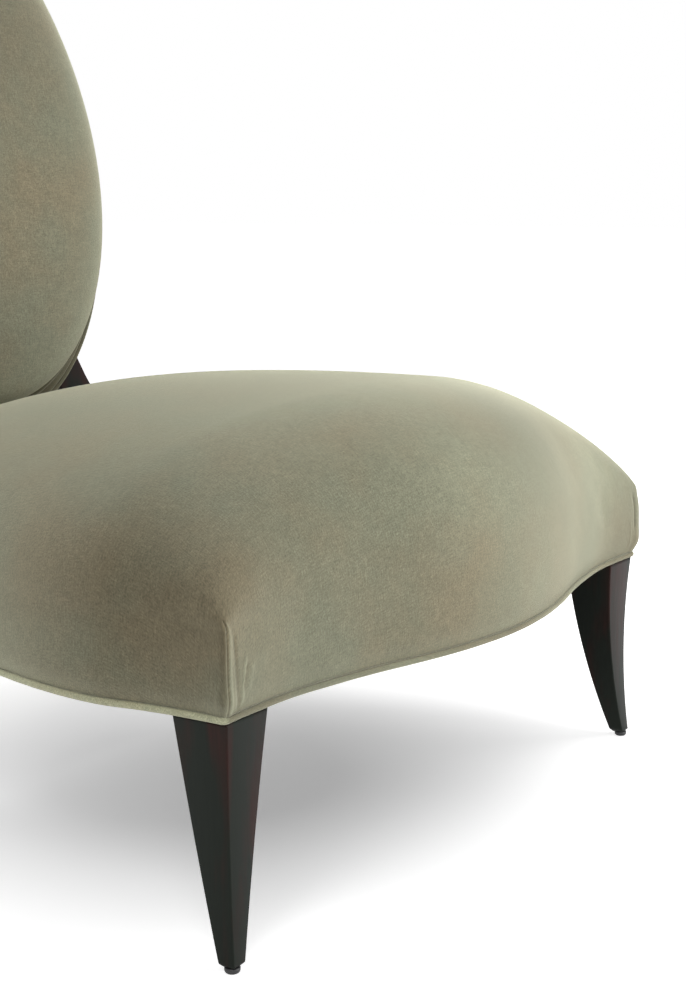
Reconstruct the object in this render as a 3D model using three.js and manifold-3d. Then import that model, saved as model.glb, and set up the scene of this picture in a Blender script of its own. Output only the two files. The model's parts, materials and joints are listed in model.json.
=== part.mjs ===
// Slipper chair: a bowed, crowned velvet seat on sabre legs, with an oval upholstered back
// that stands on two splayed rear posts.
// Millimetres, +Z up. The sitter faces -Y, x = 0 is the plane of symmetry, left is -X.
import * as THREE from 'three';
import { mergeVertices } from 'three/addons/utils/BufferGeometryUtils.js';
import Module from 'manifold-3d';

const wasm = await Module();
wasm.setup();

// Fits between pieces
const jointGap = 0.3;
const mergeDistance = 0.0005;
const cutOverrun = 2;

// Seat outline, measured over the piping at the seat's lower edge
const legHeight = 204;
const seatFrontHalf = 375;
const seatRearHalf = 273;
const seatFrontEdge = -319;
const seatDepth = 613;
const frontBow = 51;
const sideBow = 36;
const frontBowShares = [
  [-0.17, 0.91], [0, 1], [0.17, 0.91], [0.33, 0.69], [0.5, 0.365],
  [0.62, 0.18], [0.74, 0.035], [0.82, -0.01], [0.9, -0.015], [1, 0],
];
const sideBowShares = [
  [0, 0.07], [0.06, 0.26], [0.12, 0.51], [0.2, 0.92], [0.3, 1.05], [0.4, 0.95], [0.55, 0.65], [0.75, 0.32], [1, 0],
];
const leastStepShare = 0.02;

// Seat cushion form
const seatWallHeight = 75;
const seatCrown = 147.5;
const crownSwell = 0.5;
const wallSwell = 3;
const crownPlaceShare = 0.23;
const crownSideShare = 2;
const crownFrontShare = 1.74;
const crownRearShare = 2.9;
const crownRollShare = 0.406;
const wallShares = [[0.75, 0.85], [0.45, 1], [0.2, 0.6], [0, -0.8]];
const coverCellsAcross = 20;
const coverCellsDeep = 15;

// Upholstery layers
const coverSkin = 2;
const weltDiameter = 5.8;
const weltCornerRadius = 7;
const weltCornerSteps = 4;
const weltSides = 6;
const weltEndGap = 0.9;
const waddingFoot = 3;
const waddingGap = 0.8;
const waddingShares = [[0.75, 0.3], [0.92, 0.8], [0.85, 1]];
const strapWidth = 50;
const strapThickness = 2;
const seatStrapsEachWay = 5;
const strapEndMargin = 10;
const strapSideClearance = 15;
const strapRearClearance = 19;
const firstCrossStrapDistance = 104;
const dustCoverThickness = 1.2;

// Seat frame
const railInset = 9;
const railThickness = 24;
const railHeight = 59;
const blockLength = 72;
const blockSteps = 4;
const blockHeight = 32;
const frontBlockHeight = 48;

// Front legs: how far the outer and the front face stand in from the seat's corner, and the width,
// at the foot, at half height and at the top
const footSideInset = 3.5;
const waistSideInset = 7.9;
const topSideInset = 2.8;
const footFrontInset = -1;
const waistFrontInset = 5.7;
const topFrontInset = 2.7;
const footWidth = 14.4;
const waistWidth = 34.5;
const topWidth = 53.7;
const legChamfer = 1.6;
const legRings = 9;

// Glides under the four feet
const glideDiameter = 13;
const glideHeight = 5;
const glideNailDiameter = 3;
const glideNailLength = 9;
const glideSides = 12;
const glideFlatShare = 0.7;
const glideDomeShare = 0.4;

// Bolts and dowels
const boltDiameter = 8;
const boltHeadDiameter = 12;
const boltHeadHeight = 5;
const boltSides = 10;
const boreClearance = 0.35;
const legBoltDepth = 40;
const legBoltInset = 12;
const postBoltDepth = 28;
const postBoltPitch = 18;
const postBoltInset = 9;
const postBoltDrop = 15;
const dowelDiameter = 10;
const dowelHalfLength = 25;

// Back: a reclined oval, measured at the seam of the front pad; its lowest point is set
// from the seat's rear edge and from the top of the seat's wall
const backFootInset = 14.9;
const backFootRise = 91.3;
const backRecline = 0.22;
const backHalfWidth = 230;
const backHalfHeight = 302;
const backNarrowingShare = -0.05;
const backCrown = 43;
const padRollShare = 0.3;
const padAngleShares = [0, 0.16, 0.32, 0.48, 0.64, 0.78, 0.9, 0.97];
const ovalSteps = 40;

// Back layers, as depths behind the seam plane and as growth beyond the seam line
const hemTuck = 2.5;
const hemDepth = 13.5;
const seamWeltGrowth = 1.4;
const seamWeltDepth = 5.2;
const seamWeltRadius = 2.9;
const rimGrowth = 18.5;
const rimShoulder = 17;
const rimDepth = 49.5;
const rimWeltDepth = 17.5;
const bandThickness = 1.6;
const bandTuck = 1.5;
const bandStartDepth = 10;
const bandShoulderDepth = 14;
const bandSlopeShare = 0.45;
const ringWidth = 62;
const ringJointSteps = 4;
const backStrapWidth = 45;
const backStrapPitch = 120;
const backStrapCrossPitch = 150;
const backStrapsEachWay = 3;
const panelThickness = 7;
const panelCrown = 5;
const panelFirmShare = 0.45;
const panelRoundShare = 0.5;
const panelCrownShares = [[0.72, 0.6], [0.36, 0.95]];

// Back posts, the rear legs and back supports sawn in one piece. The foot stands out by the splay
// and to the rear by the rake; the top leans in and joins the ring of the back's frame
const postMeetAngle = -57 * Math.PI / 180;
const postSideInset = 8;
const postSplay = 16;
const postRake = 75.7;
const postRingInset = 3.4;
const postTopOutset = 18;
const postTopOverrun = 53;
const postFootWidth = 15;
const postSeatWidth = 54;
const postTopWidth = 44;
const postFootDepth = 15;
const postSeatDepth = 42;
const postTopDepth = 26;
const postRings = 26;
// From the foot to the seat: height, splay and rake that are left, width and depth reached
const postLegShares = [
  [0, 1, 1, 0, 0],
  [0.25, 0.63, 0.6, 0.23, 0.33],
  [0.53, 0.38, 0.27, 0.49, 0.67],
  [0.8, 0.25, 0.06, 0.74, 0.93],
  [1.055, 0, 0, 0.92, 1],
];
// From the seat to the top: height, lean, narrowing and thinning reached
const postBackShares = [
  [0.19, 0.09, 0, 0.06],
  [0.36, 0.26, 0, 0.25],
  [0.53, 0.52, 0.2, 0.56],
  [0.69, 0.76, 0.4, 0.87],
  [0.83, 0.89, 0.7, 1],
  [1, 1, 1, 1],
];

// Materials
const velvet = new THREE.MeshStandardMaterial({ color: 0x8f8d75, roughness: 0.85, metalness: 0 });
const darkWood = new THREE.MeshStandardMaterial({ color: 0x2b211d, roughness: 0.38, metalness: 0 });
const frameWood = new THREE.MeshStandardMaterial({ color: 0xb9935f, roughness: 0.7, metalness: 0 });
const foam = new THREE.MeshStandardMaterial({ color: 0xe6dfc0, roughness: 0.95, metalness: 0 });
const fibre = new THREE.MeshStandardMaterial({ color: 0xf1f0ea, roughness: 1, metalness: 0 });
const webbing = new THREE.MeshStandardMaterial({ color: 0x5d4a38, roughness: 0.9, metalness: 0 });
const cambric = new THREE.MeshStandardMaterial({ color: 0x1d1d1f, roughness: 0.95, metalness: 0 });
const steel = new THREE.MeshStandardMaterial({ color: 0x9a9c9e, roughness: 0.4, metalness: 1 });
const nylon = new THREE.MeshStandardMaterial({ color: 0x17171a, roughness: 0.5, metalness: 0 });

// Places that follow from the sizes above
const seatRearEdge = seatFrontEdge + seatDepth;
const seatWallTop = legHeight + seatWallHeight;
const railRearFace = seatRearEdge - railInset;
const railFrontFace = railRearFace - railThickness;
const backCentreY = seatRearEdge - backFootInset + backHalfHeight * Math.sin(backRecline);
const backCentreZ = seatWallTop + backFootRise + backHalfHeight * Math.cos(backRecline);
const seatUnderside = legHeight + jointGap;
const railBottom = seatUnderside + dustCoverThickness + jointGap;
const railTop = railBottom + railHeight;
const strapStep = strapThickness + jointGap;
const strapBottom = railTop + jointGap;
const foamBottom = strapBottom + 2 * strapStep;
const coverHem = seatUnderside + weltDiameter + jointGap;
const waddingTop = railTop + strapThickness;
const ringFront = hemDepth + jointGap + 2 * strapStep;
const ringRear = rimDepth - jointGap;
const ringOuterGrowth = rimGrowth - bandThickness - jointGap;

const chair = new THREE.Group();
const backGroup = new THREE.Group();
backGroup.position.set(0, backCentreY, backCentreZ);
backGroup.rotation.x = -backRecline;
chair.add(backGroup);
backGroup.updateMatrix();
const toBack = backGroup.matrix.clone().invert();

// Adds one named piece
function addPiece(name, geometry, material, parent = chair) {
  const mesh = new THREE.Mesh(geometry, material);
  mesh.name = name;
  parent.add(mesh);
  return mesh;
}

// A geometry from corner points and triangles, with its faces turned outward
function solidFrom(points, triangles) {
  let volume = 0;
  for (const [a, b, c] of triangles) {
    volume += points[a].dot(new THREE.Vector3().crossVectors(points[b], points[c]));
  }
  const index = triangles.flatMap(([a, b, c]) => (volume < 0 ? [a, c, b] : [a, b, c]));
  const geometry = new THREE.BufferGeometry();
  const places = points.flatMap((point) => point.toArray());
  geometry.setAttribute('position', new THREE.Float32BufferAttribute(places, 3));
  geometry.setIndex(index);
  geometry.computeVertexNormals();
  return geometry;
}

// The two triangles of a four-cornered face
function quad(a, b, c, d) {
  return [[a, b, c], [a, c, d]];
}

// Triangles of the strip between two closed rings of equal count
function ringStrip(first, second, count) {
  const faces = [];
  for (let i = 0; i < count; i += 1) {
    const next = (i + 1) % count;
    faces.push(...quad(first + i, second + i, second + next, first + next));
  }
  return faces;
}

// A solid through a row of closed sections; its ends are capped, or joined when it is a loop
function loft(sections, isLoop = false) {
  const count = sections[0].length;
  const points = sections.flat();
  const faces = [];
  for (let k = 0; k + 1 < sections.length; k += 1) {
    faces.push(...ringStrip(k * count, (k + 1) * count, count));
  }
  const last = (sections.length - 1) * count;
  if (isLoop) {
    faces.push(...ringStrip(last, 0, count));
  } else {
    const caps = THREE.ShapeUtils.triangulateShape(flatten(sections[0]), []);
    const ends = THREE.ShapeUtils.triangulateShape(flatten(sections[sections.length - 1]), []);
    const startIsCounter = !THREE.ShapeUtils.isClockWise(flatten(sections[0]));
    const endIsCounter = !THREE.ShapeUtils.isClockWise(flatten(sections[sections.length - 1]));
    faces.push(...caps.map(([a, b, c]) => (startIsCounter ? [a, b, c] : [c, b, a])));
    const far = ends.map((face) => face.map((corner) => last + corner));
    faces.push(...far.map(([a, b, c]) => (endIsCounter ? [c, b, a] : [a, b, c])));
  }
  return solidFrom(points, faces);
}

// A flat section's points as seen in its own plane, in the order that they go round
function flatten(section) {
  const normal = new THREE.Vector3();
  section.forEach((point, i) => {
    const next = section[(i + 1) % section.length];
    normal.add(new THREE.Vector3().crossVectors(point, next));
  });
  const turn = new THREE.Quaternion().setFromUnitVectors(normal.normalize(), new THREE.Vector3(0, 0, 1));
  return section.map((point) => {
    const flat = point.clone().applyQuaternion(turn);
    return new THREE.Vector2(flat.x, flat.y);
  });
}

// An upright prism on a plan outline
function prism(outline, bottom, height, holes = []) {
  const shape = new THREE.Shape(outline.map(([x, y]) => new THREE.Vector2(x, y)));
  for (const hole of holes) {
    const path = new THREE.Path();
    path.absarc(hole.x, hole.y, hole.radius, 0, 2 * Math.PI, true);
    shape.holes.push(path);
  }
  const options = { depth: height, bevelEnabled: false, curveSegments: boltSides };
  const geometry = new THREE.ExtrudeGeometry(shape, options);
  geometry.translate(0, 0, bottom);
  return geometry;
}

function box(x0, x1, y0, y1, z0, z1) {
  const geometry = new THREE.BoxGeometry(x1 - x0, y1 - y0, z1 - z0);
  geometry.translate((x0 + x1) / 2, (y0 + y1) / 2, (z0 + z1) / 2);
  return geometry;
}

// Boolean cutting of one geometry by others
function toManifold(geometry) {
  const bare = geometry.clone();
  bare.deleteAttribute('normal');
  bare.deleteAttribute('uv');
  const merged = mergeVertices(bare, mergeDistance);
  return new wasm.Manifold(new wasm.Mesh({
    numProp: 3,
    vertProperties: new Float32Array(merged.attributes.position.array),
    triVerts: new Uint32Array(merged.index.array),
  }));
}

function cut(geometry, ...cutters) {
  let body = toManifold(geometry);
  for (const cutter of cutters) body = body.subtract(toManifold(cutter));
  const mesh = body.getMesh();
  const result = new THREE.BufferGeometry();
  result.setAttribute('position', new THREE.Float32BufferAttribute(mesh.vertProperties, 3));
  result.setIndex(Array.from(mesh.triVerts));
  result.computeVertexNormals();
  return result;
}

// A round bar between two points
function rod(from, to, radius, sides = boltSides) {
  const axis = new THREE.Vector3().subVectors(to, from);
  const geometry = new THREE.CylinderGeometry(radius, radius, axis.length(), sides);
  const turn = new THREE.Quaternion().setFromUnitVectors(new THREE.Vector3(0, 1, 0), axis.normalize());
  geometry.applyQuaternion(turn);
  geometry.translate((from.x + to.x) / 2, (from.y + to.y) / 2, (from.z + to.z) / 2);
  return geometry;
}

// A bolt turned about +Z: its shank from the tip at z = 0, its head on top
function boltGeometry(shankLength) {
  const profile = [
    new THREE.Vector2(0, 0),
    new THREE.Vector2(boltDiameter / 2, 0),
    new THREE.Vector2(boltDiameter / 2, shankLength),
    new THREE.Vector2(boltHeadDiameter / 2, shankLength),
    new THREE.Vector2(boltHeadDiameter / 2, shankLength + boltHeadHeight),
    new THREE.Vector2(0, shankLength + boltHeadHeight),
  ];
  const geometry = new THREE.LatheGeometry(profile, boltSides);
  geometry.rotateX(Math.PI / 2);
  return geometry;
}

// A smooth curve through hand-placed points, level at each point where it turns back
function along(shares, at) {
  const last = shares.length - 1;
  if (at >= shares[last][0]) return shares[last][1];
  let k = 0;
  while (at > shares[k + 1][0]) k += 1;
  const grade = (i) => (shares[i + 1][1] - shares[i][1]) / (shares[i + 1][0] - shares[i][0]);
  const slope = (i) => {
    if (i === 0) return grade(0);
    if (i === last) return grade(last - 1);
    if (grade(i - 1) * grade(i) <= 0) return 0;
    return (shares[i + 1][1] - shares[i - 1][1]) / (shares[i + 1][0] - shares[i - 1][0]);
  };
  const span = shares[k + 1][0] - shares[k][0];
  const t = (at - shares[k][0]) / span;
  const rise = shares[k + 1][1] - shares[k][1];
  const bendIn = slope(k) * span - rise;
  const bendOut = rise - slope(k + 1) * span;
  return shares[k][1] + t * rise + t * (1 - t) * ((1 - t) * bendIn + t * bendOut);
}

// The parabola through three values at the start, the middle and the end
function through(t, start, middle, end) {
  return start * (1 - t) * (1 - 2 * t) + 4 * middle * t * (1 - t) + end * t * (2 * t - 1);
}

// Seat plan: u runs from -1 at the left to +1 at the right, v from -1 at the front to +1 at the rear,
// and grow moves the outline outward
function seatPlan(u, v, grow) {
  const depthShare = (v + 1) / 2;
  const straight = seatFrontHalf + (seatRearHalf - seatFrontHalf) * depthShare;
  const x = u * (straight + sideBow * along(sideBowShares, depthShare) + grow);
  const bow = frontBow * along(frontBowShares, Math.min(1, Math.abs(x) / seatFrontHalf));
  const front = seatFrontEdge - bow - grow;
  const rear = seatRearEdge + grow;
  return [x, front + (rear - front) * depthShare];
}

// Height of the crowned seat above its wall, as a share of the crown
function crownShare(u, v) {
  const crownPlace = 2 * crownPlaceShare - 1;
  const isFront = v < crownPlace;
  const reach = isFront ? (crownPlace - v) / (crownPlace + 1) : (v - crownPlace) / (1 - crownPlace);
  const across = 1 - Math.abs(u) ** crownSideShare;
  const deep = 1 - Math.min(1, reach) ** (isFront ? crownFrontShare : crownRearShare);
  return (across * deep) ** crownRollShare;
}

// Grid places from -1 to 1, closer together towards the edges
function edgeSpaced(cells) {
  return Array.from({ length: cells + 1 }, (_, i) => Math.sin((i / cells - 0.5) * Math.PI));
}

const acrossPlaces = edgeSpaced(coverCellsAcross);
const deepPlaces = edgeSpaced(coverCellsDeep);

// Adds the crowned surface of the seat, sunk by depth, and gives its edge as a ring of indices
function addCrown(points, faces, depth, isInside) {
  const first = points.length;
  const row = coverCellsAcross + 1;
  for (let j = 0; j <= coverCellsDeep; j += 1) {
    for (let i = 0; i <= coverCellsAcross; i += 1) {
      const [x, y] = seatPlan(acrossPlaces[i], deepPlaces[j], crownSwell - depth);
      const rise = crownShare(acrossPlaces[i], deepPlaces[j]);
      points.push(new THREE.Vector3(x, y, seatWallTop - depth + seatCrown * rise));
    }
  }
  for (let j = 0; j < coverCellsDeep; j += 1) {
    for (let i = 0; i < coverCellsAcross; i += 1) {
      const a = first + j * row + i;
      faces.push(...(isInside ? quad(a, a + row, a + row + 1, a + 1) : quad(a, a + 1, a + row + 1, a + row)));
    }
  }
  const edge = [];
  for (let i = 0; i < coverCellsAcross; i += 1) edge.push([i, 0]);
  for (let j = 0; j < coverCellsDeep; j += 1) edge.push([coverCellsAcross, j]);
  for (let i = coverCellsAcross; i > 0; i -= 1) edge.push([i, coverCellsDeep]);
  for (let j = coverCellsDeep; j > 0; j -= 1) edge.push([0, j]);
  return edge.map(([i, j]) => ({ index: first + j * row + i, u: acrossPlaces[i], v: deepPlaces[j] }));
}

// Adds a level ring of the seat outline and the strip that joins it to the ring above it
function addWallRing(points, faces, above, grow, z, isInside) {
  const ring = above.map((corner) => {
    const [x, y] = seatPlan(corner.u, corner.v, grow);
    points.push(new THREE.Vector3(x, y, z));
    return { ...corner, index: points.length - 1 };
  });
  joinRings(faces, above, ring, isInside);
  return ring;
}

function joinRings(faces, above, below, isInside) {
  above.forEach((corner, i) => {
    const next = (i + 1) % above.length;
    const strip = [corner.index, below[i].index, below[next].index, above[next].index];
    faces.push(...(isInside ? quad(strip[0], strip[3], strip[2], strip[1]) : quad(...strip)));
  });
}

// Velvet seat cover: crown and walls as a thin skin, open underneath
function seatCoverGeometry() {
  const points = [];
  const faces = [];
  const hems = [0, coverSkin].map((depth) => {
    const isInside = depth > 0;
    let ring = addCrown(points, faces, depth, isInside);
    for (const [heightShare, swellShare] of wallShares) {
      const z = coverHem + heightShare * (seatWallTop - coverHem);
      ring = addWallRing(points, faces, ring, wallSwell * swellShare - depth, z, isInside);
    }
    return ring;
  });
  joinRings(faces, hems[0], hems[1], false);
  return solidFrom(points, faces);
}

// Seat foam: the same crown inside the cover, flat where it lies on the webbing
function seatFoamGeometry() {
  const points = [];
  const faces = [];
  const depth = coverSkin + jointGap;
  const edge = addCrown(points, faces, depth, false);
  const base = addWallRing(points, faces, edge, crownSwell - depth, foamBottom, false);
  const outline = base.map((corner) => new THREE.Vector2(points[corner.index].x, points[corner.index].y));
  for (const [a, b, c] of THREE.ShapeUtils.triangulateShape(outline, [])) {
    faces.push([base[a].index, base[c].index, base[b].index]);
  }
  return solidFrom(points, faces);
}

// The seat outline from the left rear corner round the front to the right rear corner
function frontAndSides(grow, rearV, cornerRadius = 0) {
  const sidePlaces = [...deepPlaces.slice(1).filter((v) => v < rearV - leastStepShare), rearV];
  const left = sidePlaces.map((v) => seatPlan(-1, v, grow)).reverse();
  const front = acrossPlaces.map((u) => seatPlan(u, -1, grow));
  const right = sidePlaces.map((v) => seatPlan(1, v, grow));
  const path = [...left, ...front, ...right];
  const corners = [left.length, left.length + coverCellsAcross];
  return cornerRadius > 0 ? roundCorners(path, corners, cornerRadius) : path;
}

// Replaces the named corners of an open path by short arcs
function roundCorners(path, corners, radius) {
  return path.flatMap((point, i) => {
    if (!corners.includes(i)) return [point];
    const corner = new THREE.Vector2(...point);
    const towards = (other) => new THREE.Vector2(...other).sub(corner).setLength(radius).add(corner);
    const curve = new THREE.QuadraticBezierCurve(towards(path[i - 1]), corner, towards(path[i + 1]));
    return curve.getPoints(weltCornerSteps).map((p) => [p.x, p.y]);
  });
}

// A level piece swept along an open plan path; section points are outward and up from the path
function sweepPlan(path, z, section) {
  const sections = path.map(([x, y], i) => {
    const before = new THREE.Vector2(...path[Math.max(i - 1, 0)]);
    const after = new THREE.Vector2(...path[Math.min(i + 1, path.length - 1)]);
    const tangent = after.sub(before).normalize();
    return section.map(([out, up]) => new THREE.Vector3(x + out * tangent.y, y - out * tangent.x, z + up));
  });
  return loft(sections);
}

function roundSection(radius, sides) {
  return Array.from({ length: sides }, (_, k) => {
    const angle = (k + 0.5) * 2 * Math.PI / sides;
    return [radius * Math.cos(angle), radius * Math.sin(angle)];
  });
}

// A square section with small chamfers, between two sides and two faces, at one height
function chamferedSection(x0, x1, y0, y1, z, chamfer) {
  return [
    [x0 + chamfer, y0], [x1 - chamfer, y0], [x1, y0 + chamfer], [x1, y1 - chamfer],
    [x1 - chamfer, y1], [x0 + chamfer, y1], [x0, y1 - chamfer], [x0, y0 + chamfer],
  ].map(([x, y]) => new THREE.Vector3(x, y, z));
}

// Seat frame: four mitred rails that follow the bowed outline
const railOuter = -railInset;
const railInner = -(railInset + railThickness);
const mitreShare = 2 * jointGap / seatDepth;

function frontOrRearRail(v) {
  const line = (grow) => acrossPlaces.map((u) => seatPlan(u, v, grow));
  return prism([...line(railOuter), ...line(railInner).reverse()], railBottom, railHeight);
}

function sideRail(hand) {
  const line = (grow) => deepPlaces.map((v) => seatPlan(hand, v * (1 - mitreShare), grow));
  return prism([...line(railOuter), ...line(railInner).reverse()], railBottom, railHeight + strapStep);
}

// A glued block in one inner corner of the frame
function cornerBlock(hand, end, height) {
  const grow = railInner - jointGap;
  const [cornerX] = seatPlan(hand, end, grow);
  const widthShare = blockLength / Math.abs(cornerX);
  const depthShare = 2 * blockLength / seatDepth;
  const steps = Array.from({ length: blockSteps }, (_, k) => (k + 1) / blockSteps);
  const alongEnd = steps.toReversed().map((share) => seatPlan(hand * (1 - widthShare * share), end, grow));
  const alongSide = steps.map((share) => seatPlan(hand, end * (1 - depthShare * share), grow));
  return { outline: [...alongEnd, seatPlan(hand, end, grow), ...alongSide], height };
}

// Front legs: square sabre legs, wide under the seat and drawn in to a small foot
function frontLegGeometry(hand) {
  const sections = [];
  const footTop = glideHeight + jointGap;
  for (let k = 0; k < legRings; k += 1) {
    const z = footTop + (legHeight - footTop) * k / (legRings - 1);
    const t = z / legHeight;
    const out = seatFrontHalf - through(t, footSideInset, waistSideInset, topSideInset);
    const front = seatFrontEdge + through(t, footFrontInset, waistFrontInset, topFrontInset);
    const width = through(t, footWidth, waistWidth, topWidth);
    const sides = [hand * (out - width), hand * out].sort((a, b) => a - b);
    sections.push(chamferedSection(sides[0], sides[1], front, front + width, z, legChamfer));
  }
  return loft(sections);
}

const legBoltX = seatFrontHalf - topSideInset - topWidth + legBoltInset;
const legBoltY = seatFrontEdge + topFrontInset + topWidth - legBoltInset;
const legBoltTip = legHeight - legBoltDepth;
const frontFootX = seatFrontHalf - footSideInset - footWidth / 2;
const frontFootY = seatFrontEdge + footFrontInset + footWidth / 2;

// Back posts: stations from the foot up, each with its outer face, front face, width and depth
const postFootHeight = glideHeight + jointGap;
const postSeatOut = seatRearHalf - postSideInset;
const postSeatFront = railRearFace + jointGap;
const postMeet = ovalPoint(postMeetAngle, ringOuterGrowth, (ringFront + ringRear) / 2);
const postMeetInChair = postMeet.clone().applyMatrix4(backGroup.matrix);
const postTopOut = postMeetInChair.x + postTopOutset;
const postTopHeight = postMeetInChair.z + postTopOverrun;
const legStations = postLegShares.map(([height, splay, rake, width, depth]) => ({
  z: postFootHeight + (legHeight - postFootHeight) * height,
  out: postSeatOut + postSplay * splay,
  front: postSeatFront + postRake * rake,
  width: postFootWidth + (postSeatWidth - postFootWidth) * width,
  depth: postFootDepth + (postSeatDepth - postFootDepth) * depth,
}));
const postSeatHeight = legStations[legStations.length - 1].z;
const backStations = postBackShares.map(([height, lean, narrowing, thinning]) => {
  const z = postSeatHeight + (postTopHeight - postSeatHeight) * height;
  const ringFace = backCentreY + (z - backCentreZ) * Math.tan(backRecline)
    + (ringFront + postRingInset) / Math.cos(backRecline);
  return {
    z,
    out: postSeatOut + (postTopOut - postSeatOut) * lean,
    front: Math.max(postSeatFront, ringFace),
    width: postSeatWidth + (postTopWidth - postSeatWidth) * narrowing,
    depth: postSeatDepth + (postTopDepth - postSeatDepth) * thinning,
  };
});
const postStations = [...legStations, ...backStations];

// One size of the post at any height, on a smooth curve through the stations
function postAt(z, key) {
  const heights = postStations.map((station) => [station.z, station[key]]);
  return along(heights, z);
}

// The post, or with growth the clearance that it cuts into its neighbours
function postGeometry(hand, grow) {
  const sections = [];
  for (let k = 0; k <= postRings; k += 1) {
    const z = postFootHeight + (postTopHeight - postFootHeight) * k / postRings;
    const out = postAt(z, 'out') + grow;
    const inner = out - postAt(z, 'width') - 2 * grow;
    const front = postAt(z, 'front') - grow;
    const rear = front + postAt(z, 'depth') + 2 * grow;
    const sides = [hand * inner, hand * out].sort((a, b) => a - b);
    sections.push(chamferedSection(sides[0], sides[1], front, rear, z, legChamfer));
  }
  return loft(sections);
}

const postFootX = postSeatOut + postSplay - postFootWidth / 2;
const postFootY = postSeatFront + postRake + postFootDepth / 2;

// A glide: a domed foot with a nail up into the leg
function glideGeometry() {
  const radius = glideDiameter / 2;
  const nail = glideNailDiameter / 2;
  const profile = [
    [0, 0], [radius * glideFlatShare, 0], [radius, glideHeight * glideDomeShare], [radius, glideHeight],
    [nail, glideHeight], [nail, glideHeight + glideNailLength], [0, glideHeight + glideNailLength],
  ].map(([r, z]) => new THREE.Vector2(r, z));
  const geometry = new THREE.LatheGeometry(profile, glideSides);
  geometry.rotateX(Math.PI / 2);
  return geometry;
}

function nailBore(x, y) {
  const radius = glideNailDiameter / 2 + boreClearance;
  const top = glideHeight + glideNailLength + jointGap;
  return rod(new THREE.Vector3(x, y, -cutOverrun), new THREE.Vector3(x, y, top), radius, glideSides);
}

// The back's oval: angle from the right-hand side, growth beyond the seam line and depth behind it
function ovalPoint(angle, growth, depth, scale = 1) {
  const rise = Math.sin(angle);
  const x = (backHalfWidth + growth) * Math.cos(angle) * (1 + backNarrowingShare * rise);
  return new THREE.Vector3(scale * x, depth, scale * (backHalfHeight + growth) * rise);
}

// A closed hoop with one section all the way round the oval
function ovalHoop(section) {
  const sections = Array.from({ length: ovalSteps }, (_, k) => {
    const angle = 2 * Math.PI * k / ovalSteps;
    return section.map(([growth, depth]) => ovalPoint(angle, growth, depth));
  });
  return loft(sections, true);
}

// A stretch of a hoop between two of its steps, shortened by the joint gap
function ovalArc(section, from, to) {
  const seam = jointGap / backHalfWidth;
  const sections = [];
  for (let k = from; k <= to; k += 1) {
    const trim = (k === from ? seam / 2 : 0) - (k === to ? seam / 2 : 0);
    const angle = 2 * Math.PI * k / ovalSteps + trim;
    sections.push(section.map(([growth, depth]) => ovalPoint(angle, growth, depth)));
  }
  return loft(sections);
}

// A surface of rings that shrink to a centre point; each ring is a growth, a depth and a scale
function addOvalCap(points, faces, rings, centreDepth, isInside) {
  const first = points.length;
  for (const { growth, depth, scale } of rings) {
    for (let k = 0; k < ovalSteps; k += 1) {
      points.push(ovalPoint(2 * Math.PI * k / ovalSteps, growth, depth, scale));
    }
  }
  const added = [];
  for (let r = 0; r + 1 < rings.length; r += 1) {
    added.push(...ringStrip(first + r * ovalSteps, first + (r + 1) * ovalSteps, ovalSteps));
  }
  const centre = points.push(new THREE.Vector3(0, centreDepth, 0)) - 1;
  const last = first + (rings.length - 1) * ovalSteps;
  for (let k = 0; k < ovalSteps; k += 1) added.push([last + k, centre, last + (k + 1) % ovalSteps]);
  faces.push(...added.map(([a, b, c]) => (isInside ? [a, c, b] : [a, b, c])));
  return first;
}

// The front pad's rings, sunk by a skin: the hem, then the roll and the crown
function padRings(skin, hem) {
  const rings = [
    { growth: -hemTuck - skin, depth: hem, scale: 1 },
    { growth: -hemTuck - skin, depth: seamWeltDepth, scale: 1 },
  ];
  for (const share of padAngleShares) {
    const angle = share * Math.PI / 2;
    const depth = skin - backCrown * Math.sin(angle);
    rings.push({ growth: -skin, depth, scale: Math.cos(angle) ** padRollShare });
  }
  return rings;
}

function backCoverGeometry() {
  const points = [];
  const faces = [];
  const outside = addOvalCap(points, faces, padRings(0, hemDepth), -backCrown, false);
  const inside = addOvalCap(points, faces, padRings(coverSkin, hemDepth), coverSkin - backCrown, true);
  faces.push(...ringStrip(inside, outside, ovalSteps));
  return solidFrom(points, faces);
}

function backFoamGeometry() {
  const points = [];
  const faces = [];
  const skin = coverSkin + jointGap;
  const outside = addOvalCap(points, faces, padRings(skin, hemDepth), skin - backCrown, false);
  const rear = points.push(new THREE.Vector3(0, hemDepth, 0)) - 1;
  for (let k = 0; k < ovalSteps; k += 1) faces.push([outside + (k + 1) % ovalSteps, rear, outside + k]);
  return solidFrom(points, faces);
}

// The padded panel that closes the rear of the back
function outsideBackGeometry() {
  const front = rimDepth + jointGap;
  const points = [];
  const faces = [];
  const rings = [
    { growth: rimGrowth, depth: front, scale: 1 },
    { growth: rimGrowth, depth: front + panelThickness * panelFirmShare, scale: 1 },
    { growth: rimGrowth - panelThickness * panelRoundShare, depth: front + panelThickness, scale: 1 },
  ];
  for (const [scale, rise] of panelCrownShares) {
    rings.push({ growth: rimGrowth, depth: front + panelThickness + panelCrown * rise, scale });
  }
  const outside = addOvalCap(points, faces, rings, front + panelThickness + panelCrown, false);
  const centre = points.push(new THREE.Vector3(0, front, 0)) - 1;
  for (let k = 0; k < ovalSteps; k += 1) faces.push([outside + (k + 1) % ovalSteps, centre, outside + k]);
  return solidFrom(points, faces);
}

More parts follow.
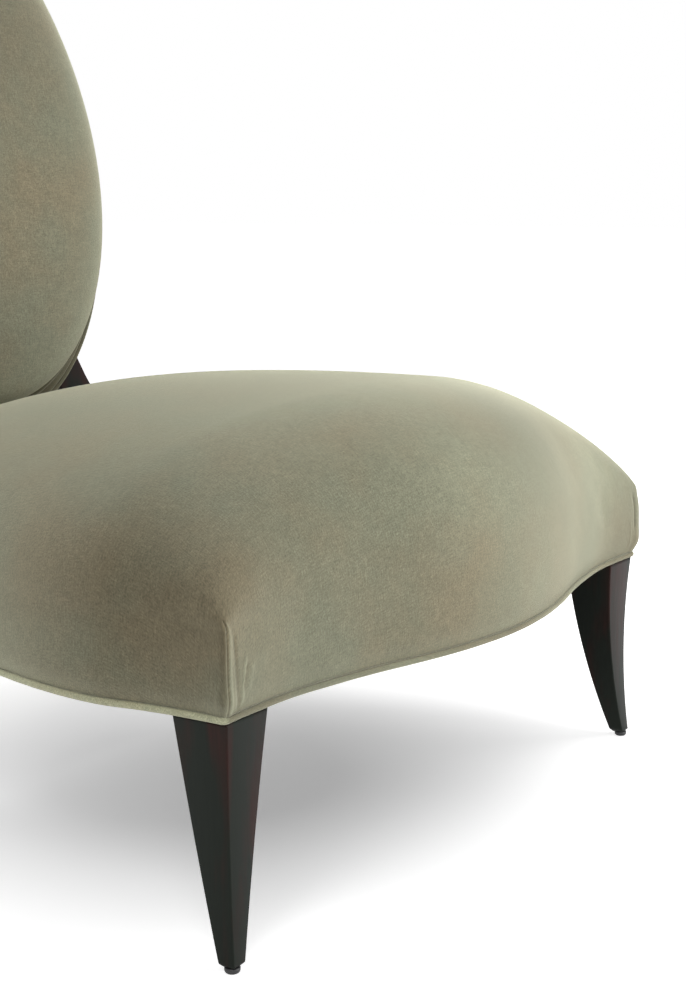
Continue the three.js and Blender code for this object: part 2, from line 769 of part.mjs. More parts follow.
// The velvet band round the edge of the back: it slopes out from the pad to the rim, then runs to the rear
const bandSlope = rimShoulder * bandSlopeShare;
const bandSection = [
  [-bandTuck, bandStartDepth],
  [bandSlope, bandStartDepth + bandThickness],
  [rimShoulder, bandShoulderDepth],
  [rimGrowth, bandShoulderDepth + bandThickness],
  [rimGrowth, rimDepth],
  [rimGrowth - bandThickness, rimDepth],
  [rimGrowth - bandThickness, bandShoulderDepth + 2 * bandThickness],
  [rimShoulder - bandThickness, bandShoulderDepth + bandThickness],
  [bandSlope, bandStartDepth + 2 * bandThickness],
  [-bandTuck, bandStartDepth + bandThickness],
];
const ringSection = [
  [ringOuterGrowth, ringFront], [ringOuterGrowth, ringRear],
  [ringOuterGrowth - ringWidth, ringRear], [ringOuterGrowth - ringWidth, ringFront],
];
const rimWeltRadius = weltDiameter / 2;
const rimWeltGrowth = rimGrowth + rimWeltRadius + jointGap;

function weltSection(growth, depth, radius) {
  return roundSection(radius, weltSides).map(([a, b]) => [growth + a, depth + b]);
}

// Upright and cross straps behind the pad, from the front of one ring member to the front of the other
function backStrap(isUpright, place) {
  const seamHalf = isUpright ? backHalfHeight : backHalfWidth;
  const half = seamHalf + ringOuterGrowth - ringWidth / 2 + strapEndMargin;
  const across = isUpright ? backHalfWidth : backHalfHeight;
  const reach = half * Math.sqrt(1 - ((Math.abs(place) + backStrapWidth / 2) / across) ** 2);
  const front = isUpright ? hemDepth + jointGap : hemDepth + jointGap + strapStep;
  const low = place - backStrapWidth / 2;
  const high = place + backStrapWidth / 2;
  return isUpright
    ? box(low, high, front, front + strapThickness, -reach, reach)
    : box(-reach, reach, front, front + strapThickness, low, high);
}

// The dowel that joins each post to the lower ring member, square to the oval where they meet
function dowelEnds(hand) {
  const rise = Math.sin(postMeetAngle);
  const reach = Math.cos(postMeetAngle);
  const run = backNarrowingShare * reach ** 2 - rise * (1 + backNarrowingShare * rise);
  const outX = (backHalfHeight + ringOuterGrowth) * reach;
  const outZ = -(backHalfWidth + ringOuterGrowth) * run;
  const square = new THREE.Vector3(outX, 0, outZ).normalize();
  const from = postMeet.clone().addScaledVector(square, -dowelHalfLength);
  const to = postMeet.clone().addScaledVector(square, dowelHalfLength);
  from.x *= hand;
  to.x *= hand;
  return [from, to];
}

function dowelRod(hand, grow) {
  const [from, to] = dowelEnds(hand);
  const axis = new THREE.Vector3().subVectors(to, from).setLength(grow);
  return rod(from.sub(axis), to.add(axis), dowelDiameter / 2 + grow);
}

const hands = [['left', -1], ['right', 1]];

// Front legs, their bolts and the front corner blocks
const dustHoles = [];
for (const [side, hand] of hands) {
  const x = hand * legBoltX;
  const shank = legBoltDepth + jointGap + dustCoverThickness + jointGap + frontBlockHeight + jointGap;
  const boreRadius = boltDiameter / 2 + boreClearance;
  const onAxis = (z) => new THREE.Vector3(x, legBoltY, z);
  const bore = (bottom, top) => rod(onAxis(bottom), onAxis(top), boreRadius);
  const legBore = bore(legBoltTip - jointGap, legHeight + cutOverrun);
  const footX = hand * frontFootX;
  addPiece(`front_leg_${side}`, cut(frontLegGeometry(hand), legBore, nailBore(footX, frontFootY)), darkWood);
  addPiece(`leg_bolt_${side}`, boltGeometry(shank), steel).position.set(x, legBoltY, legBoltTip);
  const block = cornerBlock(hand, -1, frontBlockHeight);
  const blockSolid = prism(block.outline, railBottom, block.height);
  const blockBore = bore(railBottom - cutOverrun, railBottom + frontBlockHeight + cutOverrun);
  addPiece(`corner_block_front_${side}`, cut(blockSolid, blockBore), frameWood);
  dustHoles.push({ x, y: legBoltY, radius: boreRadius });
  addPiece(`glide_front_${side}`, glideGeometry(), nylon).position.set(footX, frontFootY, 0);
}

// Rails; the rear rail is bored for the post bolts
const postBoltZ = railTop - postBoltDrop;
const postBoltX = postAt(postBoltZ, 'out') - postAt(postBoltZ, 'width') + postBoltInset;
const postBolts = hands.flatMap(([side, hand]) => [['inner', 0], ['outer', 1]].map(([place, step]) => ({
  name: `post_bolt_${side}_${place}`,
  hand,
  x: hand * (postBoltX + step * postBoltPitch),
})));

function postBoltBore(x) {
  const radius = boltDiameter / 2 + boreClearance;
  const near = new THREE.Vector3(x, railFrontFace - cutOverrun, postBoltZ);
  const far = new THREE.Vector3(x, railRearFace + jointGap + postBoltDepth + jointGap, postBoltZ);
  return rod(near, far, radius);
}

addPiece('front_rail', frontOrRearRail(-1), frameWood);
addPiece('rear_rail', cut(frontOrRearRail(1), ...postBolts.map(({ x }) => postBoltBore(x))), frameWood);
for (const [side, hand] of hands) {
  addPiece(`side_rail_${side}`, sideRail(hand), frameWood);
  const block = cornerBlock(hand, 1, blockHeight);
  addPiece(`corner_block_rear_${side}`, prism(block.outline, railBottom, block.height), frameWood);
}
for (const { name, x } of postBolts) {
  const bolt = boltGeometry(railThickness + 2 * jointGap + postBoltDepth);
  bolt.rotateX(Math.PI / 2);
  addPiece(name, bolt, steel).position.set(x, railRearFace + jointGap + postBoltDepth, postBoltZ);
}

// Posts, cut to the oval ring that they carry, with their glides and dowels
const ringCutter = ovalEnvelope(ringOuterGrowth + jointGap);
ringCutter.applyMatrix4(backGroup.matrix);
for (const [side, hand] of hands) {
  const dowelBore = dowelRod(hand, boreClearance);
  dowelBore.applyMatrix4(backGroup.matrix);
  const bolts = postBolts.filter((bolt) => bolt.hand === hand).map(({ x }) => postBoltBore(x));
  const footX = hand * postFootX;
  const post = cut(postGeometry(hand, 0), ringCutter, dowelBore, nailBore(footX, postFootY), ...bolts);
  addPiece(`back_post_${side}`, post, darkWood);
  addPiece(`glide_rear_${side}`, glideGeometry(), nylon).position.set(footX, postFootY, 0);
  addPiece(`post_dowel_${side}`, dowelRod(hand, 0), frameWood, backGroup);
}

// The whole oval as one block, for cutting the posts to it
function ovalEnvelope(growth) {
  const rim = Array.from({ length: ovalSteps }, (_, k) => 2 * Math.PI * k / ovalSteps);
  const sections = [0, rimDepth + panelThickness + panelCrown + postSeatDepth].map(
    (depth) => rim.map((angle) => ovalPoint(angle, growth, depth)),
  );
  return loft(sections);
}

// Seat webbing: straps from front to rear, and cross straps on top of them
const outerStrapX = seatRearHalf - railInset - railThickness - strapSideClearance - strapWidth / 2;
const firstCrossStrapY = seatFrontEdge + firstCrossStrapDistance;
const lastCrossStrapY = railFrontFace - strapRearClearance - strapWidth / 2;
for (let k = 0; k < seatStrapsEachWay; k += 1) {
  const stepShare = k / (seatStrapsEachWay - 1);
  const x = (2 * stepShare - 1) * outerStrapX;
  const frontShare = Math.min(1, Math.abs(x) / seatFrontHalf);
  const y0 = seatFrontEdge - frontBow * along(frontBowShares, frontShare) + railInset + strapEndMargin;
  const y1 = railRearFace - strapEndMargin;
  const long = box(x - strapWidth / 2, x + strapWidth / 2, y0, y1, strapBottom, strapBottom + strapThickness);
  addPiece(`seat_strap_long_${k + 1}`, long, webbing);
  const y = firstCrossStrapY + (lastCrossStrapY - firstCrossStrapY) * stepShare;
  const depthShare = (y + strapWidth / 2 - seatFrontEdge) / seatDepth;
  const [half] = seatPlan(1, 2 * depthShare - 1, railOuter - strapEndMargin);
  const z = strapBottom + strapStep;
  const cross = box(-half, half, y - strapWidth / 2, y + strapWidth / 2, z, z + strapThickness);
  addPiece(`seat_strap_cross_${k + 1}`, cross, webbing);
}

// Seat upholstery
const postClearances = hands.map(([, hand]) => postGeometry(hand, jointGap));
addPiece('seat_foam', cut(seatFoamGeometry(), ...postClearances), foam);
addPiece('seat_cover', cut(seatCoverGeometry(), ...postClearances), velvet);
const waddingHeight = waddingTop - coverHem;
const waddingSwell = railInset + wallSwell - coverSkin - waddingGap;
const waddingOutside = waddingShares.map(([swell, height]) => [waddingSwell * swell, waddingHeight * height]);
const waddingSection = [[waddingGap, 0], [waddingFoot, 0], ...waddingOutside, [waddingGap, waddingHeight]];
const waddingRear = 1 - 2 * railThickness / seatDepth;
const waddingPath = frontAndSides(railOuter, waddingRear);
addPiece('seat_wadding', sweepPlan(waddingPath, coverHem, waddingSection), fibre);

// Piping round the seat's lower edge: one length round the front and sides, one between the posts
const weltRadius = weltDiameter / 2;
const weltZ = seatUnderside + weltRadius;
const weltRear = 1 - 2 * (railInset + jointGap) / seatDepth;
const weltPath = frontAndSides(-weltRadius, weltRear, weltCornerRadius);
addPiece('seat_welt', sweepPlan(weltPath, weltZ, roundSection(weltRadius, weltSides)), velvet);
const postInner = postAt(weltZ, 'out') - postAt(weltZ, 'width') - weltEndGap;
const rearWeltPath = [[postInner, seatRearEdge - weltRadius], [-postInner, seatRearEdge - weltRadius]];
addPiece('seat_welt_rear', sweepPlan(rearWeltPath, weltZ, roundSection(weltRadius, weltSides)), velvet);

// Dust cover under the frame
const dustOutline = frontAndSides(railOuter - jointGap, 1);
addPiece('dust_cover', prism(dustOutline, seatUnderside, dustCoverThickness, dustHoles), cambric);

// Back frame: four sawn members round the oval, their joints clear of the posts
const halfTurn = ovalSteps / 2;
const members = [
  ['back_frame_right', -ringJointSteps, ringJointSteps],
  ['back_frame_top', ringJointSteps, halfTurn - ringJointSteps],
  ['back_frame_left', halfTurn - ringJointSteps, halfTurn + ringJointSteps],
  ['back_frame_bottom', halfTurn + ringJointSteps, ovalSteps - ringJointSteps],
];
for (const [name, from, to] of members) {
  const member = ovalArc(ringSection, from, to);
  const bores = name === 'back_frame_bottom' ? hands.map(([, hand]) => dowelRod(hand, boreClearance)) : [];
  addPiece(name, bores.length > 0 ? cut(member, ...bores) : member, frameWood, backGroup);
}

// Back webbing and upholstery
for (let k = 0; k < backStrapsEachWay; k += 1) {
  const step = k - (backStrapsEachWay - 1) / 2;
  addPiece(`back_strap_upright_${k + 1}`, backStrap(true, step * backStrapPitch), webbing, backGroup);
  addPiece(`back_strap_cross_${k + 1}`, backStrap(false, step * backStrapCrossPitch), webbing, backGroup);
}
addPiece('back_foam', backFoamGeometry(), foam, backGroup);
addPiece('back_cover', backCoverGeometry(), velvet, backGroup);
const postsInBack = hands.map(([, hand]) => postGeometry(hand, jointGap).applyMatrix4(toBack));
addPiece('back_band', cut(ovalHoop(bandSection), ...postsInBack), velvet, backGroup);
const seamWelt = ovalHoop(weltSection(seamWeltGrowth, seamWeltDepth, seamWeltRadius));
addPiece('back_seam_welt', seamWelt, velvet, backGroup);
const rimWelt = ovalHoop(weltSection(rimWeltGrowth, rimWeltDepth, rimWeltRadius));
addPiece('back_rim_welt', rimWelt, velvet, backGroup);
addPiece('outside_back', outsideBackGeometry(), velvet, backGroup);

// The origin lies on the floor under the middle of the chair
chair.updateMatrixWorld(true);
const middle = new THREE.Box3().setFromObject(chair, true).getCenter(new THREE.Vector3());
chair.position.set(0, -middle.y, 0);

export default chair;
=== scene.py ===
"""The looks of the slipper chair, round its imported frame.

Sizes are in millimetres in the chair's own frame, +Z up; the sitter faces -Y, left is -X.
add_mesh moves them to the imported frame, which is in metres.
"""

import json
import math

import bmesh
import bpy
import numpy as np
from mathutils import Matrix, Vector
from mathutils.kdtree import KDTree


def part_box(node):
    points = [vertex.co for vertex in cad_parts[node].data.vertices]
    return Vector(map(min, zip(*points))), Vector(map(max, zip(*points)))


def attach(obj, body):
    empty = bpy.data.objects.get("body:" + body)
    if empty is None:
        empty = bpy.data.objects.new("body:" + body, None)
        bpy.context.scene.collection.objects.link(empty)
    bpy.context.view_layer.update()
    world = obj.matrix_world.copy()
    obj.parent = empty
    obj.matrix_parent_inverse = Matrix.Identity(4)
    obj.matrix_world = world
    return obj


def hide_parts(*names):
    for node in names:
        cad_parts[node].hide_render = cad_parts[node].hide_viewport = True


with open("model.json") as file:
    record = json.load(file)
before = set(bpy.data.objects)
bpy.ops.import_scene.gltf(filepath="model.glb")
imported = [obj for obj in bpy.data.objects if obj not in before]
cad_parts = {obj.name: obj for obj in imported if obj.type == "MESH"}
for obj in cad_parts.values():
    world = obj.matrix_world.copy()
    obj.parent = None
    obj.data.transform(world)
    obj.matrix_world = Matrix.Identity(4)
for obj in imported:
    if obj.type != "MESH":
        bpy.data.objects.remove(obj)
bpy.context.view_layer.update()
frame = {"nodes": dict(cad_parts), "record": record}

MM = 0.001
JOINT_GAP = 0.3

# Seat outline, measured over the piping at the seat's lower edge
LEG_HEIGHT = 204
SEAT_FRONT_HALF = 375
SEAT_REAR_HALF = 273
SEAT_FRONT_EDGE = -319
SEAT_DEPTH = 613
FRONT_BOW = 51
SIDE_BOW = 36
FRONT_BOW_SHARES = [
    (-0.17, 0.91), (0, 1), (0.17, 0.91), (0.33, 0.69), (0.5, 0.365),
    (0.62, 0.18), (0.74, 0.035), (0.82, -0.01), (0.9, -0.015), (1, 0),
]
SIDE_BOW_SHARES = [
    (0, 0.07), (0.06, 0.26), (0.12, 0.51), (0.2, 0.92), (0.3, 1.05),
    (0.4, 0.95), (0.55, 0.65), (0.75, 0.32), (1, 0),
]

# The seat's form: the wall's height and swell, the crown above it, where the crown is highest as a share of
# the depth, the powers by which it falls to the sides, front and rear, and how soon it rolls over
SEAT_WALL_HEIGHT = 75
SEAT_CROWN = 147.5
CROWN_SWELL = 0.5
WALL_SWELL = 3
CROWN_PLACE_SHARE = 0.23
CROWN_SIDE_SHARE = 2
CROWN_FRONT_SHARE = 1.74
CROWN_REAR_SHARE = 2.9
CROWN_ROLL_SHARE = 0.406
WALL_SWELL_SHARES = [(0, -0.8), (0.2, 0.6), (0.45, 1), (0.75, 0.85), (1, CROWN_SWELL / WALL_SWELL)]
CORNER_RADIUS = 4
COVER_THICKNESS = 1.6
# How far the hem turns in over the piping, and the shares of it at which its rings lie
HEM_TURN = 5
HEM_TURN_SHARES = (0.3, 0.65, 1)
WALL_RINGS = 44
SEAT_CELLS_ACROSS = 280
SEAT_CELLS_DEEP = 180

# Folds sewn in at the front corners. Each row is the fold's distance from the corner at the hem, positive
# along the front and negative along the side, how much further off it is at the wall's top, its half width,
# how far it stands out, and where it starts and ends and over what it fades, as shares of the wall's height
LEFT_CORNER_FOLDS = [
    (5.9, 0, 2.2, 0.55, -1, 0.93, 0.06),
    (48.8, -44.5, 1.7, 0.7, 0.98, 1.07, 0.03),
    (40.5, -37.4, 0.9, -1.2, 1.0, 1.09, 0.02),
    (2.7, 0, 0.9, -0.8, 0.03, 0.95, 0.08),
    (-3, 0, 2.4, -0.3, 0.04, 0.95, 0.1),
    (16.4, -5.2, 2.4, -0.6, 0.1, 0.85, 0.1),
    (19.4, 9.8, 1.8, 0.6, 0.14, 0.6, 0.07),
    (18.5, 17.8, 0.9, -0.7, 0.3, 0.52, 0.07),
    (25.7, 18.9, 2.4, 0.3, 0.28, 0.5, 0.08),
]
RIGHT_CORNER_FOLDS = [
    (8.4, 0, 3.0, 0.3, -1, 0.93, 0.06),
    (40.5, -37.4, 0.9, -0.7, 1.0, 1.08, 0.02),
    (-3, 0, 2.2, -0.3, 0.04, 0.95, 0.1),
    (14.6, 0, 1.8, -0.7, 0.45, 0.9, 0.08),
    (19.4, 9.8, 1.8, 0.25, 0.14, 0.5, 0.07),
]
# How far in from the corner's faces a fold is felt
FOLD_REACH = 9
# The folded layers fill the corner out above its hem: how far and over what breadth, and at what share of the
# wall's height and over what share of it
CORNER_FULLNESS = 2.0
CORNER_FULLNESS_BREADTH = 14
CORNER_FULLNESS_SHARE = 0.16
CORNER_FULLNESS_RUN_SHARE = 0.17

# Painted light and shade on the velvet, paler above 0 and darker below: how much painted highlight each
# millimetre that a fold stands out gives, and painted shade where it sinks in, and how deep the painted shade
# in the crease at the hem is, over what height
FOLD_PAINTED_LIGHT = 2.5
HEM_PAINTED_SHADE = 5
HEM_PAINTED_SHADE_REACH = 0.9
# The painted light and shade at which the velvet is darkest and palest, and its tones there
PAINTED_LIGHT_RANGE = (-4, 12)
PAINTED_LIGHT_TONES = (0.25, 3.25)
# Broad painted highlights, paler, and painted shade, darker, on the velvet: centre, reach and strength
PAINTED_LIGHT_PATCHES = [
    (-40, -345, 350, 150, 0.8),
    (285, -305, 333, 75, 2.8),
    (-52, -350, 355, 60, 1.2),
    (110, -286, 398, 95, -3.2),
    (-5, -131, 426, 130, -3),
    (372, -300, 240, 50, -0.6),
    (325, -321, 230, 45, -1.2),
    (-130, -345, 270, 70, -0.3),
    (-385, -100, 270, 80, 0.4),
    (-370, -260, 315, 85, -0.7),
    (-320, -210, 350, 110, -0.4),
    (-220, -80, 400, 110, -0.3),
    (300, 20, 360, 130, -0.5),
    (-110, 265, 430, 110, -1.5),
    (80, 330, 800, 130, -1.2),
    (120, 300, 620, 130, 0.4),
]

# The cover as cloth, filled by pressure on a coarse copy: its voxels, the pressure, the frames it runs for,
# the heights over which the hem holds it and over which its effect comes in, how far a point may leave the
# cover's form, and the width and reach of the patch of the coarse copy that moves each point
CLOTH_VOXEL = 9
CLOTH_PRESSURE = 0.5
CLOTH_FRAMES = 20
CLOTH_HOLD = 14
CLOTH_EASE = 42
CLOTH_CAP = 1.8
CLOTH_BLUR = 12
CLOTH_BLUR_REACH = 24

# Piping
WELT_DIAMETER = 5.8
WELT_CORNER_RADIUS = 3.2
WELT_SIDES = 16
WELT_STEP = 2.5
PLAN_SIDE_POINTS = 90
PLAN_FRONT_POINTS = 141
PLAN_CORNER_POINTS = 9
REAR_WELT_POINTS = 90
# Its unevenness as a share of its radius, the length of that and its seed, and how much fuller its sides are
WELT_UNEVENNESS_SHARE = 0.015
WELT_DRIFT = 24
WELT_DRIFT_SEED = 11
WELT_SIDE_SHARE = 0.08
# The piping is painted paler along the chair's sides, a painted highlight for light thrown up from the floor,
# and darker along its front, painted shade
WELT_SIDE_PAINTED_LIGHT = 10
WELT_FRONT_PAINTED_SHADE = -1.4
# How deep the painted shade is in the crease where it is sewn in, and over what share of its radius
WELT_SEAM_SHADE = 6
WELT_SEAM_SHADE_SHARE = 0.12
# Waves in a gentle unevenness, and the shortest and longest of them as shares of its length
DRIFT_WAVES = 9
DRIFT_SHARES = (0.7, 1.5)

# Under cloth: its inset from the seat's outline, its thickness, and its puckers' height, place and breadth
RAIL_INSET = 9
UNDER_CLOTH_THICKNESS = 0.6
UNDER_CLOTH_PUCKER = 0.5
PUCKER_INSET = 18
PUCKER_REACH = 14
STAPLE_PITCH = 32
UNDER_CLOTH_CELLS = (140, 110)

# Front leg's foot, which places the chair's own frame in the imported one
FOOT_FRONT_INSET = -1
FOOT_WIDTH = 14.4

# The back's oval: its place, recline and size, and how much it narrows upwards
BACK_FOOT_INSET = 14.9
BACK_FOOT_RISE = 91.3
BACK_RECLINE = 0.22
BACK_HALF_WIDTH = 230
BACK_HALF_HEIGHT = 302
BACK_NARROWING_SHARE = -0.05
OVAL_STEPS = 240
# Front pad: its crown, how soon it rolls over and how nearly it closes before its centre point, and its hem,
# with the hem's bend at the seam
BACK_CROWN = 43
PAD_ROLL_SHARE = 0.3
PAD_CLOSE_SHARE = 0.985
PAD_RINGS = 44
HEM_TUCK = 2.5
HEM_DEPTH = 13.5
BEND_TUCK_SHARE = 0.8
BEND_DEPTH_SHARE = 0.5
# Its painted light: painted shade at the seam, and a painted highlight over the roll
SEAM_PAINTED_SHADE = 2.4
SEAM_PAINTED_SHADE_REACH = 5
ROLL_PAINTED_HIGHLIGHT = 3.4
ROLL_HIGHLIGHT_DEPTH = 20
ROLL_HIGHLIGHT_REACH = 12
SEAM_WELT_GROWTH = 3.6
SEAM_WELT_DEPTH = 5.2
SEAM_WELT_RADIUS = 2.9
# Band: where it starts at the seam, its shoulder and its rim, and how these are rounded and bulge
# How much darker the band is all over
BAND_DARKENING = -0.8
BAND_THICKNESS = 1.6
BAND_TUCK = 1.5
BAND_START_DEPTH = 10
BAND_SHOULDER_DEPTH = 14
BAND_SLOPE_SHARE = 0.45
BAND_RISE_SHARE = 0.35
RIM_GROWTH = 18.5
RIM_SHOULDER = 17
RIM_DEPTH = 49.5
RIM_WELT_DEPTH = 17.5
SHOULDER_ROUND = 3
SHOULDER_DIP = 0.8
RIM_INSET = 0.3
RIM_ROUND = 1
RIM_BULGE = 0.6
RIM_BULGE_FROM = 12
RIM_BULGE_TO = 8
RIM_END_INSET = 0.4
# Rear panel: its hem, how far its edge lies in and rounds over, and its crown
PANEL_THICKNESS = 7
PANEL_HEM = 6
PANEL_INSET = 0.6
PANEL_ROUND_SHARE = 0.5
PANEL_ROUND_RINGS = 8
PANEL_CROWN = 5
PANEL_CROWN_POWER = 2.2
PANEL_RINGS = 30

# Legs and posts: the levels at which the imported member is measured, the rings made between them, and the
# radius of its edges; the foot's bevel, with its own edges as a share of that radius
LEG_STATIONS = 9
LEG_RINGS = 60
LEG_EDGE = 1.5
POST_STATIONS = 22
POST_RINGS = 130
POST_EDGE = 1.6
STATION_MARGIN = 0.02
LEVEL_TOLERANCE = 1e-6
EDGE_STEPS = 5
FOOT_BEVEL = 2.2
FOOT_EDGE_SHARE = 0.6
# Glide: shares of its radius, each with the height at which it has it
GLIDE_PROFILE = [
    (0.02, 0.0), (0.62, 0.0), (0.74, 0.25), (0.88, 0.9), (0.97, 1.8), (1.0, 2.8), (1.0, 4.6), (0.96, 5.0),
]
GLIDE_STEPS = 40

# Places that follow
seat_rear_edge = SEAT_FRONT_EDGE + SEAT_DEPTH
seat_wall_top = LEG_HEIGHT + SEAT_WALL_HEIGHT
seat_underside = LEG_HEIGHT + JOINT_GAP
cover_hem = seat_underside + WELT_DIAMETER + JOINT_GAP
back_centre_y = seat_rear_edge - BACK_FOOT_INSET + BACK_HALF_HEIGHT * math.sin(BACK_RECLINE)
back_centre_z = seat_wall_top + BACK_FOOT_RISE + BACK_HALF_HEIGHT * math.cos(BACK_RECLINE)
glide_low, glide_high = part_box("glide_front_left")
foot_y = SEAT_FRONT_EDGE + FOOT_FRONT_INSET + FOOT_WIDTH / 2
chair_shift = (glide_low.y + glide_high.y) / 2 / MM - foot_y


def along(shares, at):
    """The smooth curve through given points, level at each point where it turns back."""
    places, values = np.array(shares, float).T
    grade = np.diff(values) / np.diff(places)
    slope = np.concatenate(([grade[0]], np.zeros(len(values) - 2), [grade[-1]]))
    for k in range(1, len(values) - 1):
        if grade[k - 1] * grade[k] > 0:
            slope[k] = (values[k + 1] - values[k - 1]) / (places[k + 1] - places[k - 1])
    at = np.clip(at, places[0], places[-1])
    k = np.clip(np.searchsorted(places, at, side="right") - 1, 0, len(grade) - 1)
    span = places[k + 1] - places[k]
    t = (at - places[k]) / span
    rise = values[k + 1] - values[k]
    bend_in = slope[k] * span - rise
    bend_out = rise - slope[k + 1] * span
    return values[k] + t * rise + t * (1 - t) * ((1 - t) * bend_in + t * bend_out)


def hump(x, middle, width):
    """A bell curve, 1 at the middle."""
    return np.exp(-(((x - middle) / width) ** 2))


def window(x, start, end, soft):
    """1 between start and end, fading to 0 over soft on each side."""
    return np.clip((x - start) / soft + 1, 0, 1) * np.clip((end - x) / soft + 1, 0, 1)


def drift(points, wavelength, seed):
    """A gentle seeded unevenness from -1 to 1, as a sum of waves in many directions."""
    rng = np.random.default_rng(seed)
    total = np.zeros(len(points))
    for _ in range(DRIFT_WAVES):
        direction = rng.normal(size=3)
        direction /= np.linalg.norm(direction)
        length = wavelength * rng.uniform(*DRIFT_SHARES)
        total += np.sin(points @ direction * (2 * math.pi / length) + rng.uniform(0, 2 * math.pi))
    return total / math.sqrt(DRIFT_WAVES)


# Meshes


def add_object(name, data):
    """An object of the scene, round its mesh, camera or lamp."""
    made = bpy.data.objects.new(name, data)
    bpy.context.scene.collection.objects.link(made)
    return made


def add_mesh(name, points, faces, cloth=None, painted_light_and_tone=None):
    """A smooth mesh from points in the chair's own frame; cloth gives each point's place on the flat cloth,
    and its last argument gives each point's painted light and shade and other tone shifts, paler above 0 and
    darker below."""
    placed = (np.asarray(points, float) + (0, chair_shift, 0)) * MM
    mesh = bpy.data.meshes.new(name)
    mesh.from_pydata(placed.tolist(), [], [list(map(int, face)) for face in faces])
    mesh.validate()
    if cloth is not None:
        weave = mesh.attributes.new("cloth", "FLOAT_VECTOR", "POINT")
        weave.data.foreach_set("vector", (np.asarray(cloth, float) * MM).astype(np.float32).ravel())
    # Each point's painted light and shade, with other tone shifts, go in an attribute of their own
    if painted_light_and_tone is not None:
        painted_tone = mesh.attributes.new("painted_light_and_tone", "FLOAT", "POINT")
        painted_tone.data.foreach_set("value", np.asarray(painted_light_and_tone, np.float32))
    mesh.shade_smooth()
    return add_object(name, mesh)


def face_outward(made):
    """Turns the faces of a closed mesh to point out."""
    work = bmesh.new()
    work.from_mesh(made.data)
    bmesh.ops.recalc_face_normals(work, faces=work.faces)
    work.to_mesh(made.data)
    work.free()


def apply_modifiers(made):
    """Makes the shape that the modifiers give the piece's own mesh."""
    graph = bpy.context.evaluated_depsgraph_get()
    shape = bpy.data.meshes.new_from_object(made.evaluated_get(graph))
    made.modifiers.clear()
    made.data = shape


def rows_of(source, name):
    """The places or normals that a mesh holds, as rows."""
    values = np.empty(len(source) * 3)
    source.foreach_get(name, values)
    return values.reshape(-1, 3)


def push_out(made, distance):
    """Moves each point of a mesh along its normal."""
    places, normals = rows_of(made.data.vertices, "co"), rows_of(made.data.vertex_normals, "vector")
    places += normals * distance[:, None] * MM
    made.data.vertices.foreach_set("co", places.ravel())
    made.data.update()


def thicken(made, thickness):
    """Gives an open skin its thickness, inward."""
    solid = made.modifiers.new("thickness", "SOLIDIFY")
    solid.thickness = thickness * MM
    solid.offset = -1
    apply_modifiers(made)


def closed_copy(made):
    """A coarse closed copy of an open cover, with its hem bridged."""
    work = bmesh.new()
    work.from_mesh(made.data)
    rim = [edge for edge in work.edges if edge.is_boundary]
    bridge = bmesh.ops.contextual_create(work, geom=rim)["faces"]
    bmesh.ops.triangulate(work, faces=bridge)
    bmesh.ops.recalc_face_normals(work, faces=work.faces)
    mesh = bpy.data.meshes.new("coarse_cover")
    work.to_mesh(mesh)
    work.free()
    coarse = add_object("coarse_cover", mesh)
    remesh = coarse.modifiers.new("remesh", "REMESH")
    remesh.mode = "VOXEL"
    remesh.voxel_size = CLOTH_VOXEL * MM
    apply_modifiers(coarse)
    return coarse


def pressed_full(coarse, held):
    """Runs the coarse cover as cloth under pressure and gives how far each of its points moves."""
    rest = rows_of(coarse.data.vertices, "co")
    group = coarse.vertex_groups.new(name="held")
    group.add([int(k) for k in np.flatnonzero(held)], 1, "REPLACE")
    cloth = coarse.modifiers.new("cloth", "CLOTH")
    cloth.settings.use_pressure = True
    cloth.settings.uniform_pressure_force = CLOTH_PRESSURE
    cloth.settings.vertex_group_mass = group.name
    cloth.settings.effector_weights.gravity = 0
    cloth.point_cache.frame_end = CLOTH_FRAMES
    for step in range(1, CLOTH_FRAMES + 1):
        bpy.context.scene.frame_set(step)
    apply_modifiers(coarse)
    bpy.context.scene.frame_set(1)
    return rows_of(coarse.data.vertices, "co") - rest


def fill_with_cloth(made, hem):
    """Gives a cover, held at its hem, the uneven fullness that its cloth takes under pressure.

    The mean swelling is left out, because the form has it already.
    """
    coarse = closed_copy(made)
    rest = rows_of(coarse.data.vertices, "co")
    moved = pressed_full(coarse, rest[:, 2] / MM - hem < CLOTH_HOLD)
    tree = KDTree(len(rest))
    for k, place in enumerate(rest):
        tree.insert(place, k)
    tree.balance()
    bpy.data.objects.remove(coarse)
    places, normals = rows_of(made.data.vertices, "co"), rows_of(made.data.vertex_normals, "vector")
    swelling = np.zeros(len(places))
    for k, place in enumerate(places):
        near = tree.find_range(place, CLOTH_BLUR_REACH * MM)
        if near:
            weights = np.array([math.exp(-((far / (CLOTH_BLUR * MM)) ** 2)) for _, _, far in near])
            mean_move = weights @ moved[[index for _, index, _ in near]] / weights.sum()
            swelling[k] = mean_move @ normals[k] / MM
    height = places[:, 2] / MM - hem
    uneven = swelling - swelling[height > CLOTH_EASE].mean()
    uneven *= min(1, CLOTH_CAP / np.abs(uneven).max())
    push_out(made, uneven * np.clip(height / CLOTH_EASE, 0, 1) ** 2)


def strips(first, second, wrap):
    """Quads between two rows of indices."""
    if wrap:
        return np.stack([first, np.roll(first, -1), np.roll(second, -1), second], -1)
    return np.stack([first[:-1], first[1:], second[1:], second[:-1]], -1)


